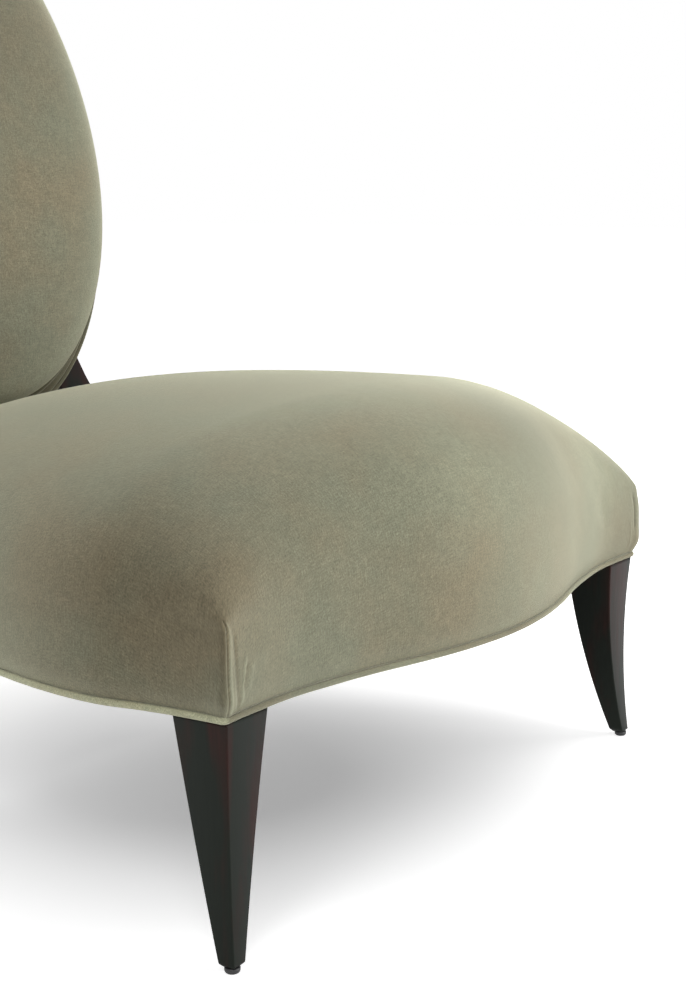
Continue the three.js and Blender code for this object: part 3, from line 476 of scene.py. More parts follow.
def loft(name, rings, close_loop=False, cloth=None, painted_light_and_tone=None):
    """A closed surface over rings of points, shape (rings, points, 3), capped unless it is a loop."""
    rings = np.asarray(rings, float)
    count, size = rings.shape[:2]
    index = np.arange(count * size).reshape(count, size)
    faces = []
    for k in range(count if close_loop else count - 1):
        faces.extend(strips(index[k], index[(k + 1) % count], True))
    if not close_loop:
        faces.append(index[0][::-1])
        faces.append(index[-1])
    made = add_mesh(name, rings.reshape(-1, 3), faces, cloth, painted_light_and_tone)
    face_outward(made)
    return made


# Seat


def seat_front(x, grow):
    """Where the bowed front edge lies at each place across."""
    bow = FRONT_BOW * along(FRONT_BOW_SHARES, np.minimum(1, np.abs(x) / SEAT_FRONT_HALF))
    return SEAT_FRONT_EDGE - bow - grow


def seat_plan(u, v, grow):
    """Seat outline: u from -1 at the left to 1 at the right, v from -1 at the front to 1 at the rear."""
    depth_share = (v + 1) / 2
    straight = SEAT_FRONT_HALF + (SEAT_REAR_HALF - SEAT_FRONT_HALF) * depth_share
    x = u * (straight + SIDE_BOW * along(SIDE_BOW_SHARES, depth_share) + grow)
    front = seat_front(x, grow)
    rear = seat_rear_edge + grow
    return x, front + (rear - front) * depth_share


def crown_share(u, v):
    """Height of the crowned seat above its wall, as a share of the crown."""
    place = 2 * CROWN_PLACE_SHARE - 1
    reach = np.where(v < place, (place - v) / (place + 1), (v - place) / (1 - place))
    power = np.where(v < place, CROWN_FRONT_SHARE, CROWN_REAR_SHARE)
    across = 1 - np.abs(u) ** CROWN_SIDE_SHARE
    deep = 1 - np.minimum(1, reach) ** power
    return (np.clip(across, 0, 1) * np.clip(deep, 0, 1)) ** CROWN_ROLL_SHARE


def edge_spaced(cells):
    """Places from -1 to 1, closer together towards the edges."""
    return np.sin((np.arange(cells + 1) / cells - 0.5) * math.pi)


def seat_distances(points, v, grow):
    """How far each point of the seat lies in from its side, its front and its rear edge."""
    edge_x, _ = seat_plan(1, v, grow)
    from_front = points[:, 1] - seat_front(points[:, 0], grow)
    from_rear = seat_rear_edge + grow - points[:, 1]
    return edge_x - np.abs(points[:, 0]), from_front, from_rear


def round_corner(points, from_side, from_end, inward):
    """Rounds an upright corner, given each point's distances from its two faces."""
    inset = np.minimum(from_side, from_end)
    left = np.maximum(CORNER_RADIUS - inset, 0)
    near = np.abs(from_side - from_end) < left
    t = ((from_side[near] - from_end[near]) / left[near] + 1) / 2
    moved_side = inset[near] + t ** 2 * left[near]
    moved_end = inset[near] + (1 - t) ** 2 * left[near]
    points[near, 0] -= np.sign(points[near, 0]) * (moved_side - from_side[near])
    points[near, 1] += inward * (moved_end - from_end[near])


def painted_patches(points):
    """The painted highlights and shade of the broad patches at each point of a cover."""
    total = np.zeros(len(points))
    for *centre, reach, strength in PAINTED_LIGHT_PATCHES:
        total += strength * hump(np.linalg.norm(points - np.array(centre), axis=1), 0, reach)
    return total


def wall_share(points):
    """How far up the wall each point lies, from 0 at the hem to 1 at the wall's top."""
    return (points[:, 2] - cover_hem) / (seat_wall_top - cover_hem)


def corner_folds(points, from_side, from_front):
    """How far the cover stands out at the pleats sewn in at its front corners."""
    height = wall_share(points)
    place = from_side - from_front
    reach = np.exp(-(np.minimum(from_side, from_front) / FOLD_REACH) ** 2)
    out = np.zeros(len(points))
    for is_side, folds in ((points[:, 0] < 0, LEFT_CORNER_FOLDS), (points[:, 0] > 0, RIGHT_CORNER_FOLDS)):
        for start, lean, width, rise, low, high, fade in folds:
            fold = hump(place, start + lean * height, width) * window(height, low, high, fade)
            out += is_side * rise * fold
    return out * reach


def corner_fullness(points, from_side, from_front):
    """How far the folded layers fill out the cover at its front corners."""
    near = hump(from_side, 0, CORNER_FULLNESS_BREADTH) * hump(from_front, 0, CORNER_FULLNESS_BREADTH)
    low = hump(wall_share(points), CORNER_FULLNESS_SHARE, CORNER_FULLNESS_RUN_SHARE)
    return CORNER_FULLNESS * near * low


def edge_of(grid):
    """What a grid of the seat holds round its edge, from the front left corner."""
    return np.concatenate([grid[0, :-1], grid[:-1, -1], grid[-1, :0:-1], grid[:0:-1, 0]])


def run_along(points, axis=0, start=0):
    """Length along a path, or along the rows or columns of a grid, from one of its points."""
    steps = np.linalg.norm(np.diff(points, axis=axis), axis=-1)
    run = np.concatenate([np.zeros_like(np.take(steps, [0], axis)), np.cumsum(steps, axis)], axis)
    return run - np.take(run, [start], axis)


def wall_rings():
    """Growth and height of the cover's rings, from the top of the wall down and in along the hem."""
    rings = []
    for share in np.linspace(1, 0, WALL_RINGS + 1)[1:]:
        level = cover_hem + share * (seat_wall_top - cover_hem)
        rings.append((WALL_SWELL * along(WALL_SWELL_SHARES, share), level))
    hem = rings[-1][0]
    return np.array(rings + [(hem - HEM_TURN * share, cover_hem) for share in HEM_TURN_SHARES])


def seat_velvet():
    """The seat's cover: crown, walls with pleated corners, and the hem turned in above the piping."""
    u, v = np.meshgrid(edge_spaced(SEAT_CELLS_ACROSS), edge_spaced(SEAT_CELLS_DEEP))
    x, y = seat_plan(u, v, CROWN_SWELL)
    crown = np.stack([x, y, seat_wall_top + SEAT_CROWN * crown_share(u, v)], -1)
    across = run_along(crown, 1, SEAT_CELLS_ACROSS // 2)
    deep = run_along(crown, 0, SEAT_CELLS_DEEP // 2)
    crown_cloth = np.stack([across, deep, np.zeros_like(u)], -1)
    index = np.arange(u.size).reshape(u.shape)
    faces = [strips(index[j], index[j + 1], False) for j in range(SEAT_CELLS_DEEP)]
    edge_u, edge_v, edge_cloth = edge_of(u), edge_of(v), edge_of(crown_cloth)
    is_end = np.abs(edge_v) == 1
    fall_way = np.stack([np.where(is_end, 0, edge_u), np.where(is_end, edge_v, 0), np.zeros(len(edge_u))], -1)
    points, cloth, above = [crown.reshape(-1, 3)], [crown_cloth.reshape(-1, 3)], edge_of(index)
    rings = wall_rings()
    for k, (grow, level) in enumerate(rings):
        points.append(np.stack(np.broadcast_arrays(*seat_plan(edge_u, edge_v, grow), level), -1))
        cloth.append(edge_cloth + fall_way * (seat_wall_top - level))
        below = u.size + k * len(edge_u) + np.arange(len(edge_u))
        faces.append(strips(below, above, True))
        above = below
    points, faces, cloth = np.concatenate(points), np.concatenate(faces), np.concatenate(cloth)
    v = np.concatenate([v.ravel(), np.tile(edge_v, len(rings))])
    grow = np.concatenate([np.full(u.size, CROWN_SWELL), np.repeat(rings[:, 0], len(edge_v))])
    from_side, from_front, from_rear = seat_distances(points, v, grow)
    round_corner(points, from_side, from_front, 1)
    round_corner(points, from_side, from_rear, -1)
    folds = corner_folds(points, from_side, from_front)
    # Painted highlights on the fold ridges and painted shade in their hollows, the broad painted patches, and
    # painted shade in the crease at the hem
    painted_light_and_tone = FOLD_PAINTED_LIGHT * folds + painted_patches(points) - HEM_PAINTED_SHADE * hump(points[:, 2], cover_hem, HEM_PAINTED_SHADE_REACH)
    made = add_mesh("seat_velvet", points, faces, cloth, painted_light_and_tone)
    push_out(made, folds + corner_fullness(points, from_side, from_front))
    fill_with_cloth(made, cover_hem)
    thicken(made, COVER_THICKNESS)
    return made


# Piping


def front_and_sides(grow, rear_v, corner_radius):
    """Plan path round the left side, the front and the right side, with rounded front corners."""
    sides = np.linspace(-1, rear_v, PLAN_SIDE_POINTS)[1:]
    left, right = (np.stack(seat_plan(hand, sides, grow), -1) for hand in (-1, 1))
    front = np.stack(seat_plan(np.linspace(-1, 1, PLAN_FRONT_POINTS), -1, grow), -1)
    path = np.concatenate([left[::-1], front, right])
    corners = [len(left), len(left) + len(front) - 1]
    made = []
    for i, point in enumerate(path):
        near = [path[c] for c in corners if 0 < np.linalg.norm(point - path[c]) < corner_radius]
        if i in corners:
            before, after = path[i - 1] - point, path[i + 1] - point
            start = point + corner_radius * before / np.linalg.norm(before)
            end = point + corner_radius * after / np.linalg.norm(after)
            for t in np.linspace(0, 1, PLAN_CORNER_POINTS):
                made.append((1 - t) ** 2 * start + 2 * t * (1 - t) * point + t ** 2 * end)
        elif not near:
            made.append(point)
    return np.array(made)


def even_path(path, step):
    """The same path with points an even step apart."""
    lengths = run_along(path)
    places = np.linspace(0, lengths[-1], int(round(lengths[-1] / step)) + 1)
    return np.stack([np.interp(places, lengths, path[:, k]) for k in range(path.shape[1])], -1)


def piping(name, path, radius, out_of, sewn_at, closed=False):
    """A cord of piping along a path.

    out_of is the outward direction, one for all or one for each point, and sewn_at the turn from there to the
    side where it is sewn in.
    """
    before, after = (path[-1:], path[:1]) if closed else (path[:1], path[-1:])
    extended = np.concatenate([before, path, after])
    tangent = extended[2:] - extended[:-2]
    tangent /= np.linalg.norm(tangent, axis=1)[:, None]
    out = out_of - (out_of * tangent).sum(1)[:, None] * tangent
    out /= np.linalg.norm(out, axis=1)[:, None]
    side = np.cross(tangent, out)
    run = run_along(path)
    sideways = np.zeros(len(path)) if closed else np.abs(tangent[:, 1])
    # Painted highlight along the sides of the piping and painted shade along its front; none on the back's
    # closed loops
    painted_tone = np.zeros(len(path)) if closed else WELT_FRONT_PAINTED_SHADE + (WELT_SIDE_PAINTED_LIGHT - WELT_FRONT_PAINTED_SHADE) * sideways
    unevenness = WELT_UNEVENNESS_SHARE * drift(path, WELT_DRIFT, WELT_DRIFT_SEED)
    size = radius * (1 + unevenness + WELT_SIDE_SHARE * sideways)
    rings, cloth, painted_light_and_tone = [], [], []
    for k in range(WELT_SIDES):
        turn = 2 * math.pi * k / WELT_SIDES
        rings.append(path + size[:, None] * (math.cos(turn) * out + math.sin(turn) * side))
        around = radius * turn
        cloth.append(np.stack([run + around, run - around, np.zeros(len(run))], -1))
        # Painted shade along the side where the piping is sewn in, in the crease at the seam
        painted_light_and_tone.append(painted_tone - WELT_SEAM_SHADE * hump(math.cos(turn - sewn_at), 1, WELT_SEAM_SHADE_SHARE))
    rings = np.stack(rings, 1)
    cloth = np.stack(cloth, 1).reshape(-1, 3)
    return loft(name, rings, close_loop=closed, cloth=cloth, painted_light_and_tone=np.stack(painted_light_and_tone, 1).ravel())


def hem_piping(name, plan):
    """Piping under the cover's hem, sewn in along its top."""
    radius = WELT_DIAMETER / 2
    path = np.column_stack([plan, np.full(len(plan), seat_underside + radius)])
    return piping(name, path, radius, np.array([0, 0, 1]), 0)


def seat_piping():
    """The piping round the front and the sides of the seat's lower edge."""
    rear_v = 1 - 2 * (RAIL_INSET + JOINT_GAP) / SEAT_DEPTH
    plan = front_and_sides(-WELT_DIAMETER / 2, rear_v, WELT_CORNER_RADIUS)
    return hem_piping("seat_piping", even_path(plan, WELT_STEP))


def seat_piping_rear():
    """The short piping between the posts."""
    low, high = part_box("seat_welt_rear")
    places = np.linspace(low.x / MM, high.x / MM, REAR_WELT_POINTS)
    plan = np.column_stack([places, np.full(len(places), seat_rear_edge - WELT_DIAMETER / 2)])
    return hem_piping("seat_piping_rear", plan)


def under_cloth():
    """The dark cloth stapled under the seat frame, drawn into small puckers between its staples.

    Gives the cloth, its flat width and length, and its flat area, in metres.
    """
    across, deep = UNDER_CLOTH_CELLS
    u, v = np.meshgrid(np.linspace(-1, 1, across + 1), np.linspace(-1, 1, deep + 1))
    x, y = seat_plan(u, v, -(RAIL_INSET + JOINT_GAP))
    from_edge = np.minimum((1 - np.abs(u)) * SEAT_FRONT_HALF, (1 - np.abs(v)) * SEAT_DEPTH / 2)
    along_edge = np.where(np.abs(u) > np.abs(v), y, x)
    ripple = np.cos(2 * math.pi * along_edge / STAPLE_PITCH)
    pucker = UNDER_CLOTH_PUCKER * ripple * hump(from_edge, PUCKER_INSET, PUCKER_REACH)
    z = seat_underside + UNDER_CLOTH_THICKNESS + np.maximum(pucker, 0)
    index = np.arange(u.size).reshape(u.shape)
    faces = np.concatenate([strips(index[j + 1], index[j], False) for j in range(deep)])
    made = add_mesh("under_cloth", np.stack([x, y, z], -1).reshape(-1, 3), faces)
    right_x, right_y = np.diff(x, axis=1)[:-1], np.diff(y, axis=1)[:-1]
    back_x, back_y = np.diff(x, axis=0)[:, :-1], np.diff(y, axis=0)[:, :-1]
    area = np.abs(right_x * back_y - right_y * back_x).sum()
    thicken(made, -UNDER_CLOTH_THICKNESS)
    return made, (np.ptp(x) * MM, np.ptp(y) * MM), area * MM * MM


# Back


def oval_point(angle, growth, depth, scale=1.0):
    """A point of the back's oval, in the chair's frame: angle from the right, depth behind the seam."""
    rise = np.sin(angle)
    x = scale * (BACK_HALF_WIDTH + growth) * np.cos(angle) * (1 + BACK_NARROWING_SHARE * rise)
    up = scale * (BACK_HALF_HEIGHT + growth) * rise
    depth = depth + np.zeros_like(x)
    lean, tall = math.sin(BACK_RECLINE), math.cos(BACK_RECLINE)
    y = back_centre_y + depth * tall + up * lean
    z = back_centre_z - depth * lean + up * tall
    return np.stack([x, y, z], -1)


def oval_angles():
    """The angles of the points round the oval."""
    return 2 * math.pi * np.arange(OVAL_STEPS) / OVAL_STEPS


def oval_cap(name, rings, centre_depth, roll_highlight_strength=0):
    """A surface of oval rings that shrink to a centre point; each ring is a growth, a depth and a scale.

    It has painted shade where the surface turns in to the seam, and the given painted highlight over its roll.
    """
    angles = oval_angles()
    points = [oval_point(angles, growth, depth, scale) for growth, depth, scale in rings]
    cloth = []
    for _, depth, scale in rings:
        across, up = BACK_HALF_WIDTH * np.cos(angles) * scale, BACK_HALF_HEIGHT * np.sin(angles) * scale
        cloth.append(np.stack(np.broadcast_arrays(across, up, depth), -1))
    index = np.arange(len(rings) * OVAL_STEPS).reshape(len(rings), OVAL_STEPS)
    faces = []
    for ring, following in zip(index, index[1:]):
        faces.extend(strips(ring, following, True))
    for first, second in zip(index[-1], np.roll(index[-1], -1)):
        faces.append([first, second, index.size])
    middle = oval_point(np.array([0.0]), 0, centre_depth, 0.0)
    depths = np.array([depth for _, depth, _ in rings])
    # Painted shade where the surface turns in to the seam, and a painted highlight over the roll
    seam_shade = SEAM_PAINTED_SHADE * hump(depths, rings[1][1], SEAM_PAINTED_SHADE_REACH)
    roll_highlight = roll_highlight_strength * hump(depths, -ROLL_HIGHLIGHT_DEPTH, ROLL_HIGHLIGHT_REACH)
    points = np.concatenate(points + [middle])
    painted_light_and_tone = np.append(np.repeat(roll_highlight - seam_shade, OVAL_STEPS), 0) + painted_patches(points)
    return add_mesh(name, points, faces, np.concatenate(cloth + [[[0, 0, 0]]]), painted_light_and_tone)


def back_pad():
    """The front pad: its hem, the roll at the seam and the crown."""
    rings = [
        (-HEM_TUCK, HEM_DEPTH, 1),
        (-HEM_TUCK, SEAM_WELT_DEPTH, 1),
        (-HEM_TUCK * BEND_TUCK_SHARE, SEAM_WELT_DEPTH * BEND_DEPTH_SHARE, 1),
    ]
    for k in range(PAD_RINGS):
        angle = (k / PAD_RINGS) * math.pi / 2 * PAD_CLOSE_SHARE
        rings.append((0, -BACK_CROWN * math.sin(angle), math.cos(angle) ** PAD_ROLL_SHARE))
    return oval_cap("back_pad", rings, -BACK_CROWN, ROLL_PAINTED_HIGHLIGHT)


def back_hoop(name, section):
    """A closed hoop with one section all round the oval; section points are a growth and a depth."""
    angles = oval_angles()
    run = angles * (BACK_HALF_WIDTH + BACK_HALF_HEIGHT) / 2
    rings, cloth = [], []
    for growth, depth in section:
        rings.append(oval_point(angles, growth, depth))
        cloth.append(np.stack(np.broadcast_arrays(run, depth, growth), -1))
    painted_light_and_tone = np.full(len(section) * OVAL_STEPS, BAND_DARKENING)
    cloth = np.stack(cloth, 1).reshape(-1, 3)
    return loft(name, np.stack(rings, 1), close_loop=True, cloth=cloth, painted_light_and_tone=painted_light_and_tone)


def back_piping(name, growth, depth, radius):
    """Piping all round the oval, sewn in along its inner side."""
    angles = oval_angles()
    path = oval_point(angles, growth, depth)
    out_of = oval_point(angles, growth + 1, depth) - path
    return piping(name, path, radius, out_of, math.pi, closed=True)


def back_band():
    """The velvet band round the edge of the back, from the pad's seam out to the rim and back to the rear."""
    slope = RIM_SHOULDER * BAND_SLOPE_SHARE
    section = [
        (-BAND_TUCK, BAND_START_DEPTH),
        (slope / 2, BAND_START_DEPTH + BAND_THICKNESS * BAND_RISE_SHARE),
        (slope, BAND_START_DEPTH + BAND_THICKNESS),
        (RIM_SHOULDER - SHOULDER_ROUND, BAND_SHOULDER_DEPTH - SHOULDER_DIP),
        (RIM_SHOULDER, BAND_SHOULDER_DEPTH),
        (RIM_GROWTH - RIM_INSET, BAND_SHOULDER_DEPTH + SHOULDER_DIP),
        (RIM_GROWTH, BAND_SHOULDER_DEPTH + BAND_THICKNESS + RIM_ROUND),
        (RIM_GROWTH + RIM_BULGE, BAND_SHOULDER_DEPTH + RIM_BULGE_FROM),
        (RIM_GROWTH + RIM_BULGE, RIM_DEPTH - RIM_BULGE_TO),
        (RIM_GROWTH, RIM_DEPTH - RIM_ROUND),
        (RIM_GROWTH - RIM_END_INSET, RIM_DEPTH),
        (RIM_GROWTH - BAND_THICKNESS, RIM_DEPTH),
        (RIM_GROWTH - BAND_THICKNESS, BAND_SHOULDER_DEPTH + 2 * BAND_THICKNESS),
        (RIM_SHOULDER - BAND_THICKNESS, BAND_SHOULDER_DEPTH + BAND_THICKNESS),
        (slope, BAND_START_DEPTH + 2 * BAND_THICKNESS),
        (-BAND_TUCK, BAND_START_DEPTH + BAND_THICKNESS),
    ]
    return back_hoop("back_edge_band", section)


def rear_panel():
    """The padded panel that closes the rear of the back."""
    front = RIM_DEPTH + JOINT_GAP
    rings = [(RIM_GROWTH - PANEL_HEM, front, 1), (RIM_GROWTH - PANEL_INSET, front, 1)]
    for k in range(1, PANEL_ROUND_RINGS + 1):
        turn = k / PANEL_ROUND_RINGS * math.pi / 2
        edge = RIM_GROWTH - PANEL_THICKNESS * PANEL_ROUND_SHARE * (1 - math.cos(turn))
        rings.append((edge, front + PANEL_THICKNESS * math.sin(turn), 1))
    start = front + PANEL_THICKNESS
    last_growth = rings[-1][0]
    for k in range(1, PANEL_RINGS):
        scale = 1 - k / PANEL_RINGS
        rings.append((last_growth, start + PANEL_CROWN * (1 - scale ** PANEL_CROWN_POWER), scale))
    made = oval_cap("back_rear_panel", rings, start + PANEL_CROWN)
    made.data.flip_normals()
    return made


# Legs, posts and glides


def slices(node, levels):
    """Left, right, front and rear of a CAD leg or post at each level, in the chair's own frame."""
    mesh = frame["nodes"][node].data
    co = np.array([v.co for v in mesh.vertices]) / MM - (0, chair_shift, 0)
    ends = np.array([edge.vertices[:] for edge in mesh.edges])
    low, high = co[ends[:, 0]], co[ends[:, 1]]
    found = []
    for level in levels:
        crossing = (low[:, 2] - level) * (high[:, 2] - level) <= 0
        crossing &= np.abs(high[:, 2] - low[:, 2]) > LEVEL_TOLERANCE
        a, b = low[crossing], high[crossing]
        t = (level - a[:, 2]) / (b[:, 2] - a[:, 2])
        cut = a + t[:, None] * (b - a)
        found.append([cut[:, 0].min(), cut[:, 0].max(), cut[:, 1].min(), cut[:, 1].max()])
    return np.array(found)


def rounded_section(left, right, front, rear, level, radius):
    """A rectangle with rounded corners, as a closed ring."""
    corners = [(right, rear, 0), (left, rear, 1), (left, front, 2), (right, front, 3)]
    middle_x, middle_y = (left + right) / 2, (front + rear) / 2
    ring = []
    for x, y, quarter in corners:
        centre_x = x - math.copysign(radius, x - middle_x)
        centre_y = y - math.copysign(radius, y - middle_y)
        for k in range(EDGE_STEPS + 1):
            turn = (quarter + k / EDGE_STEPS) * math.pi / 2
            ring.append((centre_x + radius * math.cos(turn), centre_y + radius * math.sin(turn), level))
    return ring


def wooden_member(name, node, stations, rings, edge_radius):
    """A leg or post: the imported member's sides on a smooth curve, with softened edges and a bevelled foot."""
    low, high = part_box(node)
    levels = np.linspace(low.z / MM + STATION_MARGIN, high.z / MM - STATION_MARGIN, stations)
    sides = slices(node, levels)
    heights = np.linspace(levels[0], levels[-1], rings)
    smooth = [along(np.stack([levels, side], -1), heights) for side in sides.T]
    left, right, front, rear = (side[0] for side in smooth)
    inset = (left + FOOT_BEVEL, right - FOOT_BEVEL, front + FOOT_BEVEL, rear - FOOT_BEVEL)
    made = [rounded_section(*inset, heights[0], edge_radius * FOOT_EDGE_SHARE)]
    heights[0] += FOOT_BEVEL
    for *edges, level in zip(*smooth, heights):
        made.append(rounded_section(*edges, level, edge_radius))
    return loft(name, made)


def glide(name, node):
    """A domed nylon glide under a foot."""
    low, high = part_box(node)
    centre_x, centre_y = (low.x + high.x) / 2 / MM, (low.y + high.y) / 2 / MM - chair_shift
    turns = 2 * math.pi * np.arange(GLIDE_STEPS) / GLIDE_STEPS
    rings = []
    for share, height in GLIDE_PROFILE:
        radius = share * (high.x - low.x) / 2 / MM
        x, y = centre_x + radius * np.cos(turns), centre_y + radius * np.sin(turns)
        rings.append(np.stack([x, y, np.full(GLIDE_STEPS, height)], -1))
    return loft(name, rings)


# Materials

# Velvet: its two tones, the values of the noise between which they blend, and how far the painted light and
# shade shift it towards green or brown
VELVET_BROWN = (0.168, 0.14, 0.086, 1)
VELVET_GREEN = (0.15, 0.151, 0.101, 1)
VELVET_BLEND = (0.36, 0.64)
PAINTED_LIGHT_GREENING = 0.12
# The streaks of its nap: waves to a metre across, along and through the cloth, and how strong they are
VELVET_STREAKS = [
    ((760, 95, 300), 0.18), ((80, 820, 300), 0.18), ((210, 210, 210), 0.14), ((620, 620, 620), 0.42),
]
VELVET_DEPTH = 0.4
# Dark wood: the stain, its red streaks and the depth of its grain
WOOD_STAIN = (0.0076, 0.0082, 0.0066, 1)
WOOD_RED = (0.021, 0.0058, 0.0052, 1)
WOOD_DEPTH = 0.1
# Plain finishes: light and dark colour, roughness, waves to a metre, their stretch, their depth and metalness
PLAIN_FINISHES = {
    "frame_wood": ((0.56, 0.37, 0.19, 1), (0.4, 0.25, 0.12, 1), 0.65, 1, (60, 60, 60), 0.3, 0),
    "foam": ((0.83, 0.78, 0.58, 1), (0.7, 0.64, 0.44, 1), 0.9, 700, (1, 1, 1), 0.8, 0),
    "fibre_wadding": ((0.88, 0.88, 0.84, 1), (0.7, 0.7, 0.66, 1), 0.94, 260, (1, 1, 1), 2, 0),
    "webbing": ((0.14, 0.09, 0.055, 1), (0.07, 0.045, 0.03, 1), 0.88, 900, (1, 1, 1), 0.4, 0),
    "dust_cloth": ((0.022, 0.022, 0.024, 1), (0.01, 0.01, 0.011, 1), 0.93, 1100, (1, 1, 1), 0.3, 0),
    "steel": ((0.6, 0.61, 0.63, 1), (0.42, 0.43, 0.45, 1), 0.32, 1, (900, 900, 60), 0.04, 1),
    "nylon": ((0.012, 0.012, 0.013, 1), (0.007, 0.007, 0.008, 1), 0.45, 500, (1, 1, 1), 0.06, 0),
}


def add_node(tree, kind, inputs=None, **settings):
    """A shader node; an input that is a socket is linked, and any other is set."""
    made = tree.nodes.new(kind)
    for key, value in settings.items():
        setattr(made, key, value)
    for key, value in (inputs or {}).items():
        if isinstance(value, bpy.types.NodeSocket):
            tree.links.new(value, made.inputs[key])
        else:
            made.inputs[key].default_value = value
    return made


def empty_tree(owner):
    """The shader nodes of a material or world, emptied."""
    owner.use_nodes = True
    owner.node_tree.nodes.clear()
    return owner.node_tree


def new_material(name):
    """An empty material with its shader."""
    material = bpy.data.materials.new(name)
    tree = empty_tree(material)
    shader = add_node(tree, "ShaderNodeBsdfPrincipled")
    output = add_node(tree, "ShaderNodeOutputMaterial")
    tree.links.new(shader.outputs["BSDF"], output.inputs["Surface"])
    return material, tree, shader


def object_place(tree):
    """The place on the object, in metres."""
    return add_node(tree, "ShaderNodeTexCoord").outputs["Object"]


def cloth_place(tree):
    """The place on the flat cloth, in metres."""
    return add_node(tree, "ShaderNodeAttribute", attribute_name="cloth").outputs["Vector"]


def noise(tree, place, scale, detail=3, roughness=0.5, stretch=(1, 1, 1)):
    """Noise from 0 to 1; scale is in waves to a metre."""
    mapped = add_node(tree, "ShaderNodeMapping", {"Vector": place, "Scale": stretch})
    inputs = {"Vector": mapped.outputs["Vector"], "Scale": scale, "Detail": detail, "Roughness": roughness}
    return add_node(tree, "ShaderNodeTexNoise", inputs).outputs["Fac"]


def ramp(tree, value, low, high, start=0.0, end=1.0):
    """A number mapped from low..high to start..end."""
    inputs = {"Value": value, "From Min": low, "From Max": high, "To Min": start, "To Max": end}
    return add_node(tree, "ShaderNodeMapRange", inputs).outputs["Result"]


def blend_colours(tree, factor, first, second):
    """A colour from first to second as the factor goes from 0 to 1."""
    inputs = {0: factor, 6: first, 7: second}
    return add_node(tree, "ShaderNodeMix", inputs, data_type="RGBA").outputs[2]


def scale_colour(tree, colour, value):
    """A colour times a number."""
    made = add_node(tree, "ShaderNodeVectorMath", {0: colour, "Scale": value}, operation="SCALE")
    return made.outputs["Vector"]


def combine(tree, operation, first, second):
    """Two numbers under one operation."""
    return add_node(tree, "ShaderNodeMath", {0: first, 1: second}, operation=operation).outputs[0]


def bump(tree, shader, height, depth, strength):
    """Raises the shader's surface by a height from 0 to 1, times its depth."""
    made = add_node(tree, "ShaderNodeBump", {"Height": height, "Distance": depth * MM, "Strength": strength})
    tree.links.new(made.outputs["Normal"], shader.inputs["Normal"])


def velvet_material():
    """Sage velvet: a mottled nap with a faint weave under it, sheen at grazing angles, and the painted light
    and shade that its meshes carry.
    """
    material, tree, shader = new_material("velvet")
    place, cloth = object_place(tree), cloth_place(tree)
    painted_light_and_tone = add_node(tree, "ShaderNodeAttribute", attribute_name="painted_light_and_tone").outputs["Fac"]
    # The painted light and shade also shift the hue: greener where painted paler, browner where painted darker
    mottle, shift = noise(tree, place, 9, 3), ramp(tree, painted_light_and_tone, -1.5, 1.5, -PAINTED_LIGHT_GREENING, PAINTED_LIGHT_GREENING)
    greener = combine(tree, "ADD", mottle, shift)
    colour = blend_colours(tree, ramp(tree, greener, *VELVET_BLEND), VELVET_BROWN, VELVET_GREEN)
    tone = ramp(tree, noise(tree, place, 60, 4, 0.6), 0.25, 0.75, 0.9, 1.1)
    for waves, depth in VELVET_STREAKS:
        streak = ramp(tree, noise(tree, cloth, 1, 2, 0.55, waves), 0.2, 0.8, 1 - depth, 1 + depth)
        tone = combine(tree, "MULTIPLY", tone, streak)
    # The painted light and shade brighten and darken the base colour
    tone = combine(tree, "MULTIPLY", tone, ramp(tree, painted_light_and_tone, *PAINTED_LIGHT_RANGE, *PAINTED_LIGHT_TONES))
    tree.links.new(scale_colour(tree, colour, tone), shader.inputs["Base Color"])
    shader.inputs["Roughness"].default_value = 0.9
    shader.inputs["Specular IOR Level"].default_value = 0.1
    shader.inputs["Sheen Weight"].default_value = 1.0
    shader.inputs["Sheen Roughness"].default_value = 0.5
    shader.inputs["Sheen Tint"].default_value = (1.0, 1.0, 0.77, 1)
    ribs, fuzz = noise(tree, cloth, 1, 2, 0.6, (760, 160, 300)), noise(tree, place, 1100, 2, 0.7)
    height = combine(tree, "ADD", ribs, fuzz)
    bump(tree, shader, height, VELVET_DEPTH, 0.5)
    return material


def dark_wood_material():
    """Espresso stain, satin, with fine upright grain and faint dark red streaks."""
    material, tree, shader = new_material("dark_wood")
    place = object_place(tree)
    streak = ramp(tree, noise(tree, place, 1, 2, 0.5, (48, 48, 7)), 0.46, 0.66)
    colour = blend_colours(tree, streak, WOOD_STAIN, WOOD_RED)
    grain = noise(tree, place, 1, 4, 0.6, (420, 420, 14))
    tone = ramp(tree, grain, 0.3, 0.7, 0.8, 1.2)
    tree.links.new(scale_colour(tree, colour, tone), shader.inputs["Base Color"])
    tree.links.new(ramp(tree, grain, 0.3, 0.7, 0.4, 0.5), shader.inputs["Roughness"])
    shader.inputs["Specular IOR Level"].default_value = 0.13
    shader.inputs["Specular Tint"].default_value = (0.8, 1.0, 0.87, 1)
    bump(tree, shader, grain, WOOD_DEPTH, 0.4)
    return material


def plain_material(name, light, dark, roughness, waves, stretch, depth, metallic):
    """A surface of two near colours under one noise, which also gives its bump."""
    material, tree, shader = new_material(name)
    pattern = noise(tree, object_place(tree), waves, 4, 0.6, stretch)
    colour = blend_colours(tree, ramp(tree, pattern, 0.3, 0.7), dark, light)
    gloss = ramp(tree, pattern, 0.2, 0.8, roughness + 0.06, roughness - 0.06)
    tree.links.new(colour, shader.inputs["Base Color"])
    tree.links.new(gloss, shader.inputs["Roughness"])
    shader.inputs["Metallic"].default_value = metallic
    bump(tree, shader, pattern, depth, 0.6)
    return material


materials = {"velvet": velvet_material(), "dark_wood": dark_wood_material()}
for finish_name, finish in PLAIN_FINISHES.items():
    materials[finish_name] = plain_material(finish_name, *finish)


# The chair's pieces

